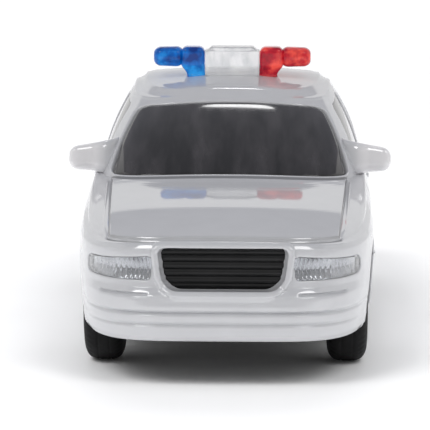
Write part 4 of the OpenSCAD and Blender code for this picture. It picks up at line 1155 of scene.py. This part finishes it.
# %% A bar with a soft rectangular section
def sweep(centres, first, second, wide, deep, power, turns=64):
    """Closed bar through stations: at each, the point at angle a is the centre plus the first direction times
    wide times cos a to the 2/power, plus the second direction times deep times sin a to the 2/power."""
    a = np.linspace(0, 2 * np.pi, turns, endpoint=False)
    c, s = np.cos(a), np.sin(a)
    c, s = np.sign(c) * np.abs(c) ** (2 / power), np.sign(s) * np.abs(s) ** (2 / power)
    rows = (centres[:, None] + (wide[:, None] * c)[..., None] * first + (deep[:, None] * s)[..., None] * second)
    count = len(centres)
    points = np.concatenate([rows.reshape(-1, 3), centres[:1], centres[-1:]])
    start, end = np.arange(turns), np.arange(turns) + (count - 1) * turns
    caps = [np.stack([np.roll(start, -1), start, np.full(turns, count * turns)], 1),
            np.stack([end, np.roll(end, -1), np.full(turns, count * turns + 1)], 1)]
    return points, np.concatenate([net(count, turns, True)] + caps)


MIRROR_ROOT, MIRROR_REACH, MIRROR_LEAN = 11.0, 4.73, 14


def door_mirror():
    """Outwards from inside the pillar: the section swells at the root, tapers, and closes by a power of 2.6."""
    s = 1 - (1 - np.linspace(0, 1, 49)) ** 1.6
    cap = np.maximum((1 - np.clip((s - 0.78) / 0.22, 0, 1) ** 2.6) ** (1 / 2.6), 0.02)
    root = 1 - step(s, 0.2, 0.58)
    centres = spots(MIRROR_ROOT + MIRROR_REACH * s, mix(-8.2, -11.1, s ** 0.6) - 0.25 * root,
                    mix(17.35, 17.32, s) - 0.2 * root)
    wide, deep = mix(1.25, 0.95, s) + 0.25 * root, mix(1.75, 1.03, s ** 0.8) + 0.2 * root
    lean = np.radians(MIRROR_LEAN)
    return sweep(centres, np.cos(lean) * Y - np.sin(lean) * Z, np.sin(lean) * Y + np.cos(lean) * Z,
                 wide * cap, deep * cap, power=3.4)


def door_handle(a, b):
    """Along the door between two plan angles: the section shrinks to its ends by a sixth power."""
    s = np.linspace(-1, 1, 33)
    centres = skin(mix(a, b, (s + 1) / 2), np.full(33, 12.0), 0.06)
    size = np.maximum(1 - np.abs(s) ** 6, 0.02)
    return sweep(centres, Z, X, 0.26 * size, 0.24 * size, power=2.6, turns=32)


points, faces = door_mirror()
# Painted highlight: 0 up to 11.6 mm from the middle and 1 beyond 13.4 mm. The enamel paints the mirrors whiter by it.
pooled = step(np.abs(points[:, 0]), 11.6, 13.4)
both("door_mirror", points, faces, "body_enamel", ["body_shell"], layers={"pooled": pooled})
both("front_handle", *door_handle(-2.2, 0.6), "body_enamel", ["body_shell"])
both("rear_handle", *door_handle(14.6, 17.0), "body_enamel", ["body_shell"])

# %% [markdown]
# ## Light bar
# Two tinted mouldings, each with an inner and a tapering outer pod and a leg, are glued to a clear middle block. Each
# is a short bar with a soft section, so the same sweep makes them all: the outer pod runs outwards, and the
# inner pod and the middle rise from the roof.

# %% Pods, legs and middle
bar_low, bar_high = (np.array(corner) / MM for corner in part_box("light_bar_clear_lens"))
BAR_Y, BAR_SEAT, BAR_TOP = (bar_low[1] + bar_high[1]) / 2, 24.53, bar_high[2]
POD_Z, POD_HALF, DEPTH_HALF = BAR_TOP - 1.025, 1.025, 1.4
INNER_X, WAIST_X, OUTER_X = 2.77, 5.13, 7.9
LEG_WIDTH = 1.8


def rounded_run(x, low, high, corner, least):
    """One between low and high, rounded down to least at both ends by a quarter circle."""
    edge = np.clip(np.minimum(x - low, high - x) / corner, 0, 1)
    return least + (1 - least) * np.sqrt(1 - (1 - edge) ** 2)


def outer_pod():
    """Outwards from the waist: a barrel that tapers slightly, with stations closer together at its round ends."""
    start, near_ends = WAIST_X - 0.2, 0.6
    x = np.unique(np.concatenate([np.linspace(start, OUTER_X, 50), start + near_ends * np.linspace(0, 1, 20) ** 2,
                                  OUTER_X - near_ends * np.linspace(0, 1, 24) ** 2]))
    size = rounded_run(x, start, OUTER_X, 0.75, 0.4) * mix(1.0, 0.92, (x - WAIST_X) / (OUTER_X - WAIST_X))
    centres = spots(x, BAR_Y, POD_Z)
    return sweep(centres, Y, Z, DEPTH_HALF * size, POD_HALF * size, power=2.7)


def inner_pod():
    """Upwards from the roof: the leg spreads by a smooth step to the pod, which a quarter circle rounds on top."""
    s = np.unique(np.concatenate([np.linspace(0, 1, 60), 1 - 0.16 * np.linspace(0, 1, 20) ** 2]))
    spread = step(s, 0.06, 0.42)
    low, high = mix(INNER_X - 0.1, INNER_X, spread), mix(INNER_X + LEG_WIDTH, WAIST_X + 0.02, spread)
    shrink = 0.6 * (1 - np.sqrt(1 - np.clip((s - 0.8) / 0.2, 0, 1) ** 2))
    centres = spots((low + high) / 2, BAR_Y, mix(BAR_SEAT - 0.05, BAR_TOP, s))
    return sweep(centres, X, Y, (high - low) / 2 - shrink, mix(1.0, DEPTH_HALF, spread) - shrink, power=5.0)


def middle():
    """Upwards from the roof: a block with a small step below its top, by a table of heights and half sizes."""
    below_top = np.array([0.42, 0.36, 0.35, 0.28, 0.07, 0.0])
    z = np.concatenate([[BAR_SEAT, BAR_SEAT + 0.06], BAR_TOP - below_top])
    wide = np.array([2.62, 2.76, 2.76, 2.72, 2.5, 2.44, 2.2, 2.1])
    deep = np.array([1.35, 1.4, 1.4, 1.36, 1.36, 1.34, 1.3, 1.22])
    return sweep(spots(0.0, BAR_Y, z), X, Y, wide, deep, power=9.0, turns=96)


for shape, part in ((outer_pod, "outer_pod"), (inner_pod, "inner_pod")):
    points, faces = shape()
    make_piece("red_" + part, points, faces, "light_bar_red", ["light_bar_red_lens"])
    make_piece("blue_" + part, *reflected(points, faces), "light_bar_blue", ["light_bar_blue_lens"])
make_piece("clear_middle", *middle(), "light_bar_clear", ["light_bar_clear_lens"], crease=30.0)

# %% [markdown]
# ## Tyres
# Soft black rings with round shoulders, two shallow grooves round the tread and a fine pattern across it. A Screw
# modifier could turn the section, but the pattern has to change round the tyre as well, so the section is
# turned on a grid, where a wave round the axle cuts the tread.

# %% Turned tyres
TYRE_MIDDLE, TYRE_HALF = 11.3, 1.9
TYRE_RADIUS, RIM_RADIUS, BORE_RADIUS = 5.3, 3.52, 3.51
GROOVES, GROOVE_DEPTH, NOTCHES, NOTCH_DEPTH = (-0.28, 0.28), 0.05, 45, 0.05


def tyre(y, z, sign):
    """A ring turned about the axle: its radius rises from the rim by the root of one less a fourth power across the
    tread, less the grooves, and a cosine round the axle notches its shoulders."""
    turns = 180
    s = np.linspace(-1, 1, 61)
    shoulder = (np.maximum(1 - np.abs(s) ** 4, 0)) ** 0.5
    grooves = np.sum([bell(s - g, 0.05) for g in GROOVES], axis=0)
    radius = RIM_RADIUS + (TYRE_RADIUS - RIM_RADIUS) * shoulder - GROOVE_DEPTH * grooves
    a = np.linspace(0, 2 * np.pi, turns, endpoint=False)
    edge = step(np.abs(s), 0.5, 0.62) * (1 - step(np.abs(s), 0.9, 0.98))
    tread = radius[:, None] - NOTCH_DEPTH * edge[:, None] * (np.cos(a * NOTCHES)[None] > 0.2)

    def ring_of(r):
        """Points round the axle at the radius r."""
        return spots((TYRE_MIDDLE + TYRE_HALF * s)[:, None], y + r * np.cos(a), z + r * np.sin(a))

    rows = np.concatenate([ring_of(tread), ring_of(np.full_like(tread, BORE_RADIUS))[::-6]])
    faces = net(len(rows) + 1, turns, True)
    faces = np.where(faces >= len(rows) * turns, faces - len(rows) * turns, faces)
    points = rows.reshape(-1, 3)
    return (points, faces[:, ::-1]) if sign > 0 else (points * [-1, 1, 1], faces)


for end, (y, z) in zip(("front", "rear"), AXLES):
    for side, sign in (("left", 1), ("right", -1)):
        make_piece(f"{end}_{side}_tread", *tyre(y, z, sign), "tyre_black", [f"{end}_{side}_tyre"],
                   body=end + "_wheels", crease=35.0)
